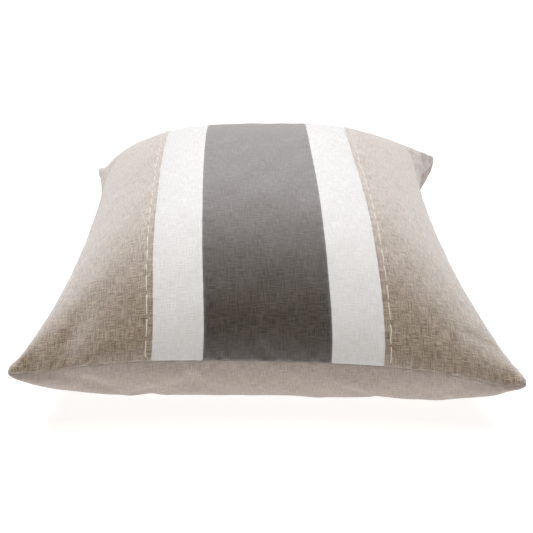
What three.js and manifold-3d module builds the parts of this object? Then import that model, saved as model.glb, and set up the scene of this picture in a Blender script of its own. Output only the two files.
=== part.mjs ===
// A square throw pillow: a zipped cover, with a front of five sewn bands and a plain back, round a
// loose-filled insert. Millimetres, +Z up. The pillow lies on its back panel, the bands run along Y, and
// the zipped edge faces +Y. The origin is on the surface it lies on, under the middle of its corners.
import * as THREE from "three";
import Module from "manifold-3d";
import { mergeVertices } from "three/addons/utils/BufferGeometryUtils.js";

// Outline: corner tip to corner tip, and how far each edge is drawn in between its corners.
const SPAN_X = 474;
const SPAN_Y = 466;
const FRONT_DRAW_IN = 22;
const REAR_DRAW_IN = 30;
const SIDE_DRAW_IN = 33;

// Heights of the corner tips, of the seams half way along each edge, and of the crown.
const CORNER_HEIGHT = 63;
const FRONT_SEAM_HEIGHT = 69;
const SIDE_SEAM_HEIGHT = 59;
const REAR_SEAM_HEIGHT = 77;
const CROWN_HEIGHT = 181;

// How far the back would bulge below its seams if it hung free. Where it would pass the floor it lies flat.
const BACK_BULGE = 100;

// Powers of the curves: an edge's seam, the two faces across their width, and how fast each face fills out.
const SEAM_POWER = 2.6;
const FACE_POWER = 3;
const FRONT_FULLNESS = 0.65;
const BACK_FULLNESS = 0.42;

// Sewn widths of the front's bands, from seam to seam in flat cloth.
const CENTRE_BAND = 127;
const WHITE_BAND = 50.8;
const NATURAL_PANEL = 139.7;

// Cloth and thread.
const COVER_CLOTH = 1;
const TICKING = 0.8;
const THREAD_DIAMETER = 1.2;
const THREAD_SETBACK = 6;
const THREAD_END = 9;

// Gaps: between panels along a seam, between the ticking and the filling, and round the whole insert.
const SEAM_GAP = 0.3;
const FILLING_GAP = 1;
const INSERT_CLEARANCE = 2;

// Concealed zipper, in the rear seam. The mouth is the slit between the two cloth lips.
const ZIP_LENGTH = 330;
const ZIP_MOUTH = 1.7;
const ZIP_SETBACK = 5.5;
const ZIP_SEAM_ALLOWANCE = 12;
const COIL_DIAMETER = 1.8;
const COIL_GAP = 0.5;
const TAPE_WIDTH = 11;
const TAPE_THICKNESS = 0.6;
const STOP_LENGTH = 4;
const STOP_WALL = 0.7;

// Slider and its pull.
const SLIDER_LENGTH = 9;
const SLIDER_WALL = 1;
const SLIDER_CLEARANCE = 0.3;
const NECK_THICKNESS = 1;
const PULL_AXIS_OUT = 2.8;
const PULL_LENGTH = 24;
const PULL_WIDTH = 6.4;
const PULL_THICKNESS = 1;
const PULL_HOLE = 2.8;
const EYE_WIDTH = 3.6;
const EYE_WALL = 0.7;

// Care label, sewn into the left seam on the inside.
const LABEL_LENGTH = 35;
const LABEL_DEPTH = 14;
const LABEL_THICKNESS = 0.5;

const FRONT = 1;
const BACK = -1;
const CLOTH_HALF = CENTRE_BAND / 2 + WHITE_BAND + NATURAL_PANEL;

const wasm = await Module();
wasm.setup();
const pillow = new THREE.Group();

// ---- The pillow's form ------------------------------------------------------------------------------

const tip = (x, y) => new THREE.Vector3(x * SPAN_X / 2, y * SPAN_Y / 2, CORNER_HEIGHT);

// One edge's seam, s from -1 to 1 between two corner tips. Past its straight share of the edge, the seam
// turns out to the tip as (distance past it / distance left)^SEAM_POWER.
function edge(from, to, inward, drawIn, height, straight = 0) {
  return (s) => {
    const past = Math.max(0, (Math.abs(s) - straight) / (1 - straight));
    const drawn = 1 - past ** SEAM_POWER;
    const point = from.clone().lerp(to, (s + 1) / 2);
    point.addScaledVector(inward, drawIn * drawn);
    point.z += (height - CORNER_HEIGHT) * drawn;
    return point;
  };
}

// The rear seam runs straight along the zipper. The nearer the zipper's ends are to the corners, the less
// that edge draws in: at most half of the length left at each end.
const zipStraight = (ZIP_LENGTH + 2 * ZIP_SEAM_ALLOWANCE) / SPAN_X;
const rearDrawIn = Math.min(REAR_DRAW_IN, ((1 - zipStraight) * SPAN_X) / 4);
const frontSeam = edge(tip(-1, -1), tip(1, -1), new THREE.Vector3(0, 1, 0), FRONT_DRAW_IN, FRONT_SEAM_HEIGHT);
const rearSeam = edge(
  tip(-1, 1), tip(1, 1), new THREE.Vector3(0, -1, 0), rearDrawIn, REAR_SEAM_HEIGHT, zipStraight,
);
const leftSeam = edge(tip(-1, -1), tip(-1, 1), new THREE.Vector3(1, 0, 0), SIDE_DRAW_IN, SIDE_SEAM_HEIGHT);
const rightSeam = edge(tip(1, -1), tip(1, 1), new THREE.Vector3(-1, 0, 0), SIDE_DRAW_IN, SIDE_SEAM_HEIGHT);

// The Coons patch that the four seams span, u and v from -1 to 1.
function seamPatch(u, v) {
  const a = (u + 1) / 2;
  const b = (v + 1) / 2;
  const point = new THREE.Vector3();
  point.addScaledVector(frontSeam(u), 1 - b).addScaledVector(rearSeam(u), b);
  point.addScaledVector(leftSeam(v), 1 - a).addScaledVector(rightSeam(v), a);
  return point.sub(tip(u, v));
}

// A pillow-shaped form over the middle part of the seam patch. Both faces start from the seam, half a
// gap apart: the front rises as f^FRONT_FULLNESS to the crown, and the back drops as f^BACK_FULLNESS until
// it meets the floor, where f = (1 - |u|^FACE_POWER) (1 - |v|^FACE_POWER).
function form({ shareX = 1, shareY = 1, gap, crown, floor }) {
  const rise = crown - seamPatch(0, 0).z - gap / 2;
  return (face, u, v) => {
    const point = seamPatch(u * shareX, v * shareY);
    const f = Math.max(0, (1 - Math.abs(u) ** FACE_POWER) * (1 - Math.abs(v) ** FACE_POWER));
    if (face === FRONT) point.z += gap / 2 + rise * f ** FRONT_FULLNESS;
    else point.z = Math.max(floor, point.z - gap / 2 - BACK_BULGE * f ** BACK_FULLNESS);
    return point;
  };
}

// The parameters, from -1 to 1, at which a line over a surface has covered each of the given shares of
// its length. Cloth keeps its length, so a band's share of the cloth is its share of that line.
const LINE_SAMPLES = 240;
function atShares(pointAt, shares) {
  const steps = Array.from({ length: LINE_SAMPLES + 1 }, (_, k) => Math.sin((k / LINE_SAMPLES - 0.5) * Math.PI));
  const points = steps.map(pointAt);
  const lengths = [0];
  for (let k = 1; k < points.length; k += 1) {
    lengths.push(lengths[k - 1] + points[k].distanceTo(points[k - 1]));
  }
  return shares.map((share) => {
    const target = share * lengths.at(-1);
    const k = Math.max(1, lengths.findIndex((length) => length >= target - 1e-6));
    const part = (target - lengths[k - 1]) / (lengths[k] - lengths[k - 1]);
    return steps[k - 1] + part * (steps[k] - steps[k - 1]);
  });
}

// A face as a grid of points, rows along Y and columns across X, each at its share of the cloth, with
// the outward direction at every point. Along the seam that direction is level, and both faces share it.
function faceGrid(shape, face, columnShares, rowShares) {
  const rows = atShares((v) => shape(FRONT, 0, v), rowShares);
  const points = rows.map((v) => {
    const columns = atShares((u) => shape(face, u, v), columnShares);
    return columns.map((u) => shape(face, u, v));
  });
  const lastRow = points.length - 1;
  const lastColumn = points[0].length - 1;
  const outward = points.map((row, j) => row.map((_, i) => {
    const across = row[Math.min(i + 1, lastColumn)].clone().sub(row[Math.max(i - 1, 0)]);
    const along = points[Math.min(j + 1, lastRow)][i].clone().sub(points[Math.max(j - 1, 0)][i]);
    const level = new THREE.Vector3();
    if (i === 0) level.add(new THREE.Vector3(-along.y, along.x, 0).normalize());
    if (i === lastColumn) level.add(new THREE.Vector3(along.y, -along.x, 0).normalize());
    if (j === 0) level.add(new THREE.Vector3(across.y, -across.x, 0).normalize());
    if (j === lastRow) level.add(new THREE.Vector3(-across.y, across.x, 0).normalize());
    if (level.lengthSq() > 0) return level.normalize();
    return across.cross(along).multiplyScalar(face).normalize();
  }));
  return { face, points, outward };
}

// The grid moved inwards by a distance, as rows of points from one column to another.
function moved(grid, inset, from, to) {
  return grid.points.map((row, j) => row.slice(from, to + 1).map(
    (point, k) => point.clone().addScaledVector(grid.outward[j][from + k], -inset),
  ));
}

function meshGeometry(corners) {
  const geometry = new THREE.BufferGeometry();
  geometry.setAttribute("position", new THREE.Float32BufferAttribute(corners.flatMap((p) => p.toArray()), 3));
  return mergeVertices(geometry);
}

// The two triangles of a cell. Its diagonal runs towards the pillow's middle, so it cuts off no corner tip.
const cell = (a, b, c, d) => ((a.x + c.x) * (a.y + c.y) > 0 ? [a, b, c, a, c, d] : [a, b, d, b, c, d]);

// The cells between two lines of points, and the cells of a grid.
const strip = (a, b) => a.slice(1).flatMap((_, k) => cell(a[k], a[k + 1], b[k + 1], b[k]));
const cells = (rows) => rows.slice(1).flatMap((row, j) => strip(rows[j], row));
const column = (rows, i) => rows.map((row) => row.at(i));
const turned = (corners) => corners.slice().reverse();

// A sheet of cloth: the grid's columns from one to another, with a thickness inwards and closed edges.
function sheet(grid, thickness, from = 0, to = grid.points[0].length - 1) {
  const outer = moved(grid, 0, from, to);
  const inner = moved(grid, thickness, from, to);
  const corners = [
    ...cells(outer), ...turned(cells(inner)),
    ...strip(inner[0], outer[0]), ...strip(outer.at(-1), inner.at(-1)),
    ...strip(column(outer, 0), column(inner, 0)), ...strip(column(inner, -1), column(outer, -1)),
  ];
  return meshGeometry(grid.face === FRONT ? corners : turned(corners));
}

// A full form: both faces moved inwards, closed along the seam that they share.
function solidForm(front, back, inset) {
  const last = front.points[0].length - 1;
  return meshGeometry([...cells(moved(front, inset, 0, last)), ...turned(cells(moved(back, inset, 0, last)))]);
}

// ---- Helpers for the small parts --------------------------------------------------------------------

function addPart(name, geometry, color, roughness, metalness = 0, position = [0, 0, 0]) {
  geometry.computeVertexNormals();
  const mesh = new THREE.Mesh(geometry, new THREE.MeshStandardMaterial({ color, roughness, metalness }));
  mesh.name = name;
  mesh.position.set(...position);
  pillow.add(mesh);
  return mesh;
}

function toSolid(geometry) {
  const flat = geometry.index ? geometry.toNonIndexed() : geometry;
  const merged = mergeVertices(new THREE.BufferGeometry().setAttribute("position", flat.attributes.position));
  return new wasm.Manifold(new wasm.Mesh({
    numProp: 3, vertProperties: merged.attributes.position.array, triVerts: Uint32Array.from(merged.index.array),
  }));
}

function joined(...geometries) {
  const [first, ...rest] = geometries.map(toSolid);
  const mesh = rest.reduce((whole, piece) => whole.add(piece), first).getMesh();
  const geometry = new THREE.BufferGeometry();
  geometry.setAttribute("position", new THREE.Float32BufferAttribute(mesh.vertProperties, 3));
  geometry.setIndex([...mesh.triVerts]);
  return geometry;
}

const outline = (...points) => new THREE.Shape(points.map(([x, y]) => new THREE.Vector2(x, y)));

// A flat shape carried through a length, centred on its own plane.
function prism(shape, length, curveSegments = 16) {
  const geometry = new THREE.ExtrudeGeometry(shape, { depth: length, bevelEnabled: false, curveSegments });
  return geometry.translate(0, 0, -length / 2);
}

// A section drawn as (Y, Z) and carried along X.
const alongX = (shape, length, segments) => prism(shape, length, segments).rotateY(Math.PI / 2).rotateX(Math.PI / 2);

// ---- Cover --------------------------------------------------------------------------------------------

// Cloth positions of the panels' edges, measured across the front from its middle.
const BAND_EDGE = CENTRE_BAND / 2;
const WHITE_EDGE = BAND_EDGE + WHITE_BAND;
const THREAD_LINE = WHITE_EDGE + THREAD_SETBACK;

const spread = (from, to, parts) => Array.from({ length: parts + 1 }, (_, k) => from + ((to - from) * k) / parts);
const half = (gap) => gap / 2;

// Right half of the columns, from the middle out. A seam between panels is two columns, a gap apart.
const rightColumns = [
  ...spread(0, BAND_EDGE - half(SEAM_GAP), 3).slice(1),
  ...spread(BAND_EDGE + half(SEAM_GAP), WHITE_EDGE - half(SEAM_GAP), 2),
  WHITE_EDGE + half(SEAM_GAP),
  ...spread(THREAD_LINE, CLOTH_HALF, 6),
];
const coverColumns = [...rightColumns.map((x) => -x).reverse(), 0, ...rightColumns];
const columnAt = (x) => coverColumns.findIndex((value) => Math.abs(value - x) < 1e-6);
const shareOf = (x) => (x + CLOTH_HALF) / (2 * CLOTH_HALF);
const COVER_ROWS = 18;
const coverForm = form({ gap: SEAM_GAP, crown: CROWN_HEIGHT, floor: 0 });
const coverGrid = (face) => faceGrid(coverForm, face, coverColumns.map(shareOf), spread(0, 1, COVER_ROWS));
const front = coverGrid(FRONT);
const back = coverGrid(BACK);

// Along the zipper the two lips of the rear seam stand further apart, for the slider's neck.
for (const grid of [front, back]) {
  for (const point of grid.points.at(-1)) {
    const inZip = Math.abs(point.x) <= (zipStraight * SPAN_X) / 2;
    if (inZip) point.z += (grid.face * (ZIP_MOUTH - SEAM_GAP)) / 2;
  }
}

const NATURAL = 0xa08f78;
const WHITE = 0xe9e7e2;
const CHARCOAL = 0x5d5650;
const OATMEAL = 0xb9a796;
const THREAD = 0xe6e1d6;

const gapHalf = half(SEAM_GAP);
const FRONT_PANELS = [
  ["front_left_natural_panel", -CLOTH_HALF, -WHITE_EDGE - gapHalf, NATURAL],
  ["front_left_white_band", -WHITE_EDGE + gapHalf, -BAND_EDGE - gapHalf, WHITE],
  ["front_centre_band", -BAND_EDGE + gapHalf, BAND_EDGE - gapHalf, CHARCOAL],
  ["front_right_white_band", BAND_EDGE + gapHalf, WHITE_EDGE - gapHalf, WHITE],
  ["front_right_natural_panel", WHITE_EDGE + gapHalf, CLOTH_HALF, NATURAL],
];
for (const [name, from, to, color] of FRONT_PANELS) {
  addPart(name, sheet(front, COVER_CLOTH, columnAt(from), columnAt(to)), color, 0.95);
}
addPart("back_panel", sheet(back, COVER_CLOTH), OATMEAL, 0.95);

// ---- Running stitch: one thread a side, on the natural panel beside its seam ---------------------------

const THREAD_SIDES = 6;
const THREAD_STEPS = 60;
for (const [name, x] of [["left_running_stitch", -THREAD_LINE], ["right_running_stitch", THREAD_LINE]]) {
  const lift = SEAM_GAP + THREAD_DIAMETER / 2;
  const route = new THREE.CatmullRomCurve3(column(moved(front, -lift, 0, coverColumns.length - 1), columnAt(x)));
  const ends = THREAD_END / route.getLength();
  const laid = new THREE.CatmullRomCurve3(
    spread(ends, 1 - ends, 2 * COVER_ROWS).map((share) => route.getPointAt(share)),
  );
  const section = new THREE.Shape().absarc(0, 0, THREAD_DIAMETER / 2, 0, 2 * Math.PI);
  const thread = new THREE.ExtrudeGeometry(section, {
    extrudePath: laid, steps: THREAD_STEPS, curveSegments: THREAD_SIDES / 2, bevelEnabled: false,
  });
  addPart(name, thread, THREAD, 0.8);
}

// ---- Zipper ---------------------------------------------------------------------------------------------

const seamY = SPAN_Y / 2 - rearDrawIn;
const coilY = seamY - ZIP_SETBACK;
const coilRadius = COIL_DIAMETER / 2;
const coilOffset = coilRadius + half(COIL_GAP);
const tapeY = coilY - coilRadius - SLIDER_CLEARANCE - TAPE_WIDTH / 2;
const TAPE_COLOR = 0xb7ab98;
const METAL_COLOR = 0xb9a98c;

for (const [side, sign] of [["upper", 1], ["lower", -1]]) {
  const z = REAR_SEAM_HEIGHT + sign * coilOffset;
  const tape = new THREE.BoxGeometry(ZIP_LENGTH + ZIP_SEAM_ALLOWANCE, TAPE_WIDTH, TAPE_THICKNESS);
  addPart(`zipper_${side}_tape`, tape, TAPE_COLOR, 0.9, 0, [0, tapeY, z]);
  const coil = new THREE.CylinderGeometry(coilRadius, coilRadius, ZIP_LENGTH, 12).rotateZ(Math.PI / 2);
  addPart(`zipper_${side}_coil`, coil, TAPE_COLOR, 0.45, 0, [0, coilY, z]);
  const topStop = new THREE.BoxGeometry(STOP_LENGTH, COIL_DIAMETER, COIL_DIAMETER);
  const stopX = (ZIP_LENGTH + STOP_LENGTH) / 2 + SEAM_GAP;
  addPart(`zipper_${side}_top_stop`, topStop, METAL_COLOR, 0.4, 0.9, [stopX, coilY, z]);
}

const bottomStopHeight = 2 * (coilOffset + coilRadius + STOP_WALL);
const bottomStop = new THREE.BoxGeometry(STOP_LENGTH, COIL_DIAMETER + 2 * STOP_WALL, bottomStopHeight);
bottomStop.translate(-(ZIP_LENGTH + STOP_LENGTH) / 2 - SEAM_GAP, coilY + STOP_WALL, REAR_SEAM_HEIGHT);
addPart("zipper_bottom_stop", bottomStop, METAL_COLOR, 0.4, 0.9);

// The slider's body is a channel round both coils, open inwards for the tapes. Its neck is a plate that
// runs out between the lips, with a window that leaves a bar for the pull's eye.
const channelY = coilRadius + SLIDER_CLEARANCE;
const channelZ = coilOffset + coilRadius + SLIDER_CLEARANCE;
const slotZ = coilOffset + TAPE_THICKNESS / 2 + SLIDER_CLEARANCE;
const bodyY = channelY + SLIDER_WALL;
const bodyZ = channelZ + SLIDER_WALL;
const channel = outline(
  [-bodyY, slotZ], [-channelY, slotZ], [-channelY, channelZ], [channelY, channelZ], [channelY, -channelZ],
  [-channelY, -channelZ], [-channelY, -slotZ], [-bodyY, -slotZ], [-bodyY, -bodyZ], [bodyY, -bodyZ],
  [bodyY, bodyZ], [-bodyY, bodyZ],
);
const barHalf = NECK_THICKNESS / 2;
const eyeInner = barHalf * Math.SQRT2 + SLIDER_CLEARANCE;
const eyeOuter = eyeInner + EYE_WALL;
const axisY = ZIP_SETBACK + PULL_AXIS_OUT;
const neck = outline(
  [-SLIDER_LENGTH / 2, channelY + SLIDER_WALL / 2], [SLIDER_LENGTH / 2, channelY + SLIDER_WALL / 2],
  [SLIDER_LENGTH / 2, axisY + barHalf], [-SLIDER_LENGTH / 2, axisY + barHalf],
);
const windowX = EYE_WIDTH / 2 + SLIDER_CLEARANCE;
const windowDepth = eyeOuter + SLIDER_CLEARANCE;
neck.holes.push(outline(
  [-windowX, axisY - windowDepth], [-windowX, axisY - barHalf], [windowX, axisY - barHalf],
  [windowX, axisY - windowDepth],
));
const sliderX = (ZIP_LENGTH - SLIDER_LENGTH) / 2 - SEAM_GAP;
const sliderPlace = [sliderX, coilY, REAR_SEAM_HEIGHT];
const slider = joined(alongX(channel, SLIDER_LENGTH), prism(neck, NECK_THICKNESS));
addPart("zipper_slider", slider, METAL_COLOR, 0.35, 0.9, sliderPlace);

// The pull hangs from the bar: an eye round it, and a tear-shaped tab with a hole near its end.
const eye = new THREE.Shape().absarc(0, 0, eyeOuter, 0, 2 * Math.PI);
eye.holes.push(new THREE.Path().absarc(0, 0, eyeInner, 0, 2 * Math.PI, true));
const tabEnd = -PULL_LENGTH + PULL_WIDTH / 2;
const tab = new THREE.Shape();
tab.moveTo(EYE_WIDTH / 2, -eyeInner - EYE_WALL / 2);
tab.lineTo(-EYE_WIDTH / 2, -eyeInner - EYE_WALL / 2);
tab.lineTo(-PULL_WIDTH / 2, tabEnd);
tab.absarc(0, tabEnd, PULL_WIDTH / 2, Math.PI, 2 * Math.PI);
tab.holes.push(new THREE.Path().absarc(0, tabEnd, PULL_HOLE / 2, 0, 2 * Math.PI, true));
const pull = joined(alongX(eye, EYE_WIDTH, 10), prism(tab, PULL_THICKNESS, 10).rotateX(Math.PI / 2));
addPart("zipper_pull_tab", pull, METAL_COLOR, 0.35, 0.9, [sliderX, seamY + PULL_AXIS_OUT, REAR_SEAM_HEIGHT]);

// ---- Insert -----------------------------------------------------------------------------------------------

// The insert's seam keeps clear of the zipper's tapes, and by the same margin of every other seam.
const insertMargin = seamY - (tapeY - TAPE_WIDTH / 2) + INSERT_CLEARANCE;
const insertColumns = spread(0, 1, 14);
const insertRows = spread(0, 1, 14);
const insertBase = {
  shareX: 1 - insertMargin / (SPAN_X / 2 - SIDE_DRAW_IN),
  shareY: 1 - insertMargin / seamY,
  crown: CROWN_HEIGHT - COVER_CLOTH - INSERT_CLEARANCE,
  floor: COVER_CLOTH + INSERT_CLEARANCE,
};
const ticking = form({ ...insertBase, gap: SEAM_GAP });
const filling = form({ ...insertBase, gap: 0 });
const insertGrid = (shape, face) => faceGrid(shape, face, insertColumns, insertRows);
addPart("insert_front_ticking", sheet(insertGrid(ticking, FRONT), TICKING), 0xf1efe9, 0.9);
addPart("insert_back_ticking", sheet(insertGrid(ticking, BACK), TICKING), 0xf1efe9, 0.9);
const fillingInset = TICKING + FILLING_GAP;
const fillingShape = solidForm(insertGrid(filling, FRONT), insertGrid(filling, BACK), fillingInset);
addPart("insert_filling", fillingShape, 0xfaf9f6, 1);

// ---- Care label, blank ---------------------------------------------------------------------------------------

const label = new THREE.BoxGeometry(LABEL_DEPTH, LABEL_LENGTH, LABEL_THICKNESS);
const labelX = -(SPAN_X / 2 - SIDE_DRAW_IN) + COVER_CLOTH + INSERT_CLEARANCE + LABEL_DEPTH / 2;
addPart("care_label", label, 0xf4f2ec, 0.7, 0, [labelX, 0, SIDE_SEAM_HEIGHT]);

export default pillow;
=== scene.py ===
import math
import bmesh
import bpy
import numpy as np
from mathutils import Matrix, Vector


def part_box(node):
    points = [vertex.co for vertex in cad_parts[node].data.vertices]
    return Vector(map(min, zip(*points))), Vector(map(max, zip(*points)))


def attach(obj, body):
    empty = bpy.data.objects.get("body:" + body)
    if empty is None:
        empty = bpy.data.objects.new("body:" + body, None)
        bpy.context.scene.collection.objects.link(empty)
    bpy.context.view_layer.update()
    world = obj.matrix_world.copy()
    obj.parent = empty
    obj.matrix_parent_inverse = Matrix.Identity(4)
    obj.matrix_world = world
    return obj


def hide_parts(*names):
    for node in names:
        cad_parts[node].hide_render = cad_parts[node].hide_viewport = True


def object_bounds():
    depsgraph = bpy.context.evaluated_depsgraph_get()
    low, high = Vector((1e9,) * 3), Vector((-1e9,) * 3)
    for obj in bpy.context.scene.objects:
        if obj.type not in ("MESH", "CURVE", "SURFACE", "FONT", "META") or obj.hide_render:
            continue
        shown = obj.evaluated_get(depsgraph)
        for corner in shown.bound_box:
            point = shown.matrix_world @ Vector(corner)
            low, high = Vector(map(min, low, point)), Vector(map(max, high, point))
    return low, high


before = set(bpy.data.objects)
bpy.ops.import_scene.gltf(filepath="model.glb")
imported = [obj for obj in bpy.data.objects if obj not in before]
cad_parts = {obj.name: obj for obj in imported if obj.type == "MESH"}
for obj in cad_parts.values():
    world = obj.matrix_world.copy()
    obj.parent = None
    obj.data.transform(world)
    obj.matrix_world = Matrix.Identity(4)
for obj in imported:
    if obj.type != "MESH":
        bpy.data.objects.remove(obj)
cad_box = [list(corner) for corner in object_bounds()]


# ---- Table, light and camera ------------------------------------------------------------------------
# A white acrylic light table in a white room, which glows from below, with one large soft light overhead
# and a weak one in front. The camera is a metre away and looks down at the front edge.

MM = 0.001
scene = bpy.context.scene
scene.view_settings.view_transform = "Standard"

TABLE_SIZE = 12.0
TABLE_COLOUR = (0.30, 0.30, 0.30, 1)
TABLE_ROUGHNESS = 0.3
GLOW_STRENGTH, GLOW_COLOUR = 0.86, (1.0, 0.985, 0.965, 1)
TABLE_GAP = 0.2 * MM
ROOM_STRENGTH = 0.22
LIT_POINT = Vector((0, 0, 0.1))
SOFTBOXES = [
    # name, place, size, power, colour
    ("overhead_softbox", (0.0, 0.42, 1.8), 1.6, 41, (0.98, 0.99, 1.0)),
    ("front_softbox", (-0.5, -1.8, 1.3), 1.2, 1.5, (1.0, 0.95, 0.9)),
]
CAMERA_PLACE = Vector((0, -836.2, 584.9)) * MM
CAMERA_PITCH = math.radians(33.15)
CAMERA_LENS = 58.0
SENSOR_WIDTH = 36.0


def shader_material(name, **values):
    """A new material whose Principled shader has the given values, each set on the shader's own socket."""
    material = bpy.data.materials.new(name)
    material.use_nodes = True
    sockets = material.node_tree.nodes["Principled BSDF"].inputs
    for socket, value in values.items():
        sockets[socket.replace("_", " ")].default_value = value
    return material


table_corners = [(x * TABLE_SIZE / 2, y * TABLE_SIZE / 2, -TABLE_GAP)
                 for x, y in ((-1, -1), (1, -1), (1, 1), (-1, 1))]
table_mesh = bpy.data.meshes.new("table_top")
table_mesh.from_pydata(table_corners, [], [(0, 1, 2, 3)])
table_top = bpy.data.objects.new("table_top", table_mesh)
scene.collection.objects.link(table_top)
table_mesh.materials.append(shader_material(
    "white_acrylic", Base_Color=TABLE_COLOUR, Roughness=TABLE_ROUGHNESS, Emission_Color=GLOW_COLOUR,
    Emission_Strength=GLOW_STRENGTH,
))

world = bpy.data.worlds.new("white_room")
world.use_nodes = True
room = world.node_tree
lit, seen = room.nodes["Background"], room.nodes.new("ShaderNodeBackground")
for background, strength in ((lit, ROOM_STRENGTH), (seen, 1.0)):
    background.inputs["Color"].default_value = (1, 1, 1, 1)
    background.inputs["Strength"].default_value = strength
choice, path = room.nodes.new("ShaderNodeMixShader"), room.nodes.new("ShaderNodeLightPath")
room.links.new(path.outputs["Is Camera Ray"], choice.inputs[0])
room.links.new(lit.outputs[0], choice.inputs[1])
room.links.new(seen.outputs[0], choice.inputs[2])
room.links.new(choice.outputs[0], room.nodes["World Output"].inputs[0])
scene.world = world

for name, place, size, power, colour in SOFTBOXES:
    light = bpy.data.lights.new(name, "AREA")
    light.shape, light.size, light.energy, light.color = "SQUARE", size, power, colour
    lamp = bpy.data.objects.new(name, light)
    lamp.location = place
    lamp.rotation_euler = (LIT_POINT - Vector(place)).to_track_quat("-Z", "Y").to_euler()
    scene.collection.objects.link(lamp)

camera = bpy.data.objects.new("camera", bpy.data.cameras.new("camera"))
camera.data.lens = CAMERA_LENS
camera.data.sensor_width = SENSOR_WIDTH
camera.location = CAMERA_PLACE
camera.rotation_euler = (math.pi / 2 - CAMERA_PITCH, 0, 0)
scene.collection.objects.link(camera)
scene.camera = camera


# ---- Filling ----------------------------------------------------------------------------------------
# Loose feather and down inside its ticking. It sets the pillow's filled form, which every cloth piece
# follows: two flat squares of cloth, sewn edge to edge, filled until they round out and lie on the table.

CLOTH_HALF = 254.0 * MM
FORM_CELLS = 96
TIP_SHIFTS = np.array([[[-3.9, 6.8, 4.8], [4.6, 2.3, -4.9]], [[6.0, 0.1, -16.0], [-16.0, 1.2, 2.5]]]) * MM
FRONT_DRAW_IN, LEFT_DRAW_IN, RIGHT_DRAW_IN = 14.6 * MM, 31.5 * MM, 39.5 * MM
FRONT_SEAM_HEIGHT, LEFT_SEAM_HEIGHT, RIGHT_SEAM_HEIGHT = 72.8 * MM, 62.9 * MM, 73.4 * MM
FRONT_SEAM_SKEW = np.array([0, 0, -0.5]) * MM
RIGHT_SEAM_SKEW = np.array([-7.5, 0, 0]) * MM
FRONT_TIP_BENDS = np.array([[0, 0, -5.7], [0, 0, -7.3]]) * MM
LEFT_TIP_BENDS = np.array([[0, 0, 0], [-3.0, 0, 0]]) * MM
RIGHT_TIP_BENDS = np.array([[3.0, 0, 0], [13.0, 0, 0]]) * MM
REAR_TIP_RISES = (-3.5 * MM, 2.0 * MM)
BEND_REACH = 0.09
SEAM_POWER, FACE_POWER = 2.49, 3.27
FRONT_FULLNESS, BACK_FULLNESS = 0.79, 0.63
BACK_BULGE = 145.0 * MM
FORM_LINES = 241
SETTLING_ROUNDS = 60

cover_high = np.array(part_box("back_panel")[1])
coil_low, coil_high = (np.array(corner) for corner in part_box("zipper_upper_coil"))
tape_low, tape_high = (np.array(corner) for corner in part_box("zipper_upper_tape"))
lower_coil_low = np.array(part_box("zipper_lower_coil")[0])
COIL_TO_SEAM = 5.5 * MM
TIP_HEIGHT = 63.0 * MM
zip_height = (coil_high[2] + lower_coil_low[2]) / 2
zip_mouth_y = (coil_low[1] + coil_high[1]) / 2 + COIL_TO_SEAM
zip_half = (tape_high[0] - tape_low[0]) / 2
crown_height = cad_box[1][2]

tips = TIP_SHIFTS + [[[x * cover_high[0], y * cover_high[1], TIP_HEIGHT] for x in (-1, 1)] for y in (-1, 1)]


def seam_curve(start, end, inward, draw_in, height, skew, bends):
    """The line from start to end, pushed inward by draw_in and to a height in its middle, by 1 - r^SEAM_POWER
    where r is the distance from the middle. skew adds skew s (1 - s^2), and near each tip the seam bends off
    by bend q exp(1 - q), where q is the distance from the tip over BEND_REACH."""
    push = np.array([inward[0] * draw_in, inward[1] * draw_in, height - (start[2] + end[2]) / 2])

    def at(s):
        """Points of the seam at s in [-1, 1]."""
        s = s[..., None]
        share = (s + 1) / 2
        q = (1 - np.abs(s)) / BEND_REACH
        bend = np.where(s < 0, bends[0], bends[1]) * q * np.exp(1 - q)
        line = start * (1 - share) + end * share
        return line + push * (1 - np.abs(s) ** SEAM_POWER) + skew * s * (1 - s**2) + bend
    return at


front_seam = seam_curve(tips[0, 0], tips[0, 1], (0, 1), FRONT_DRAW_IN, FRONT_SEAM_HEIGHT,
                        FRONT_SEAM_SKEW, FRONT_TIP_BENDS)
left_seam = seam_curve(tips[0, 0], tips[1, 0], (1, 0), LEFT_DRAW_IN, LEFT_SEAM_HEIGHT, 0, LEFT_TIP_BENDS)
right_seam = seam_curve(tips[0, 1], tips[1, 1], (-1, 0), RIGHT_DRAW_IN, RIGHT_SEAM_HEIGHT,
                        RIGHT_SEAM_SKEW, RIGHT_TIP_BENDS)


def rear_seam(s):
    """The zipped seam: level and straight along the zipper, then out to the tips by r^SEAM_POWER, where r
    rises from 0 at the zipper's end to 1 at the tip, with a rise of r q exp(1 - q) near each tip."""
    straight = zip_half / cover_high[0]
    r = np.clip((np.abs(s) - straight) / (1 - straight), 0, 1)
    past = (r**SEAM_POWER)[..., None]
    q = (1 - np.abs(s)) / BEND_REACH
    height = zip_height + np.where(s < 0, REAR_TIP_RISES[0], REAR_TIP_RISES[1]) * r * q * np.exp(1 - q)
    level = np.stack([s * cover_high[0], np.full_like(s, zip_mouth_y), height], -1)
    tip = np.where(s[..., None] < 0, tips[1, 0], tips[1, 1])
    end = np.stack([np.sign(s) * cover_high[0], level[..., 1], np.full_like(s, zip_height)], -1)
    return level + past * (tip - end)


def seam_patch(u, v):
    """The Coons patch over the four seams: both ruled surfaces added, less the bilinear patch of the tips."""
    a, b = (u[..., None] + 1) / 2, (v[..., None] + 1) / 2
    ruled = front_seam(u) * (1 - b) + rear_seam(u) * b + left_seam(v) * (1 - a) + right_seam(v) * a
    lower = tips[0, 0] * (1 - a) + tips[0, 1] * a
    upper = tips[1, 0] * (1 - a) + tips[1, 1] * a
    return ruled - lower * (1 - b) - upper * b


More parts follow.
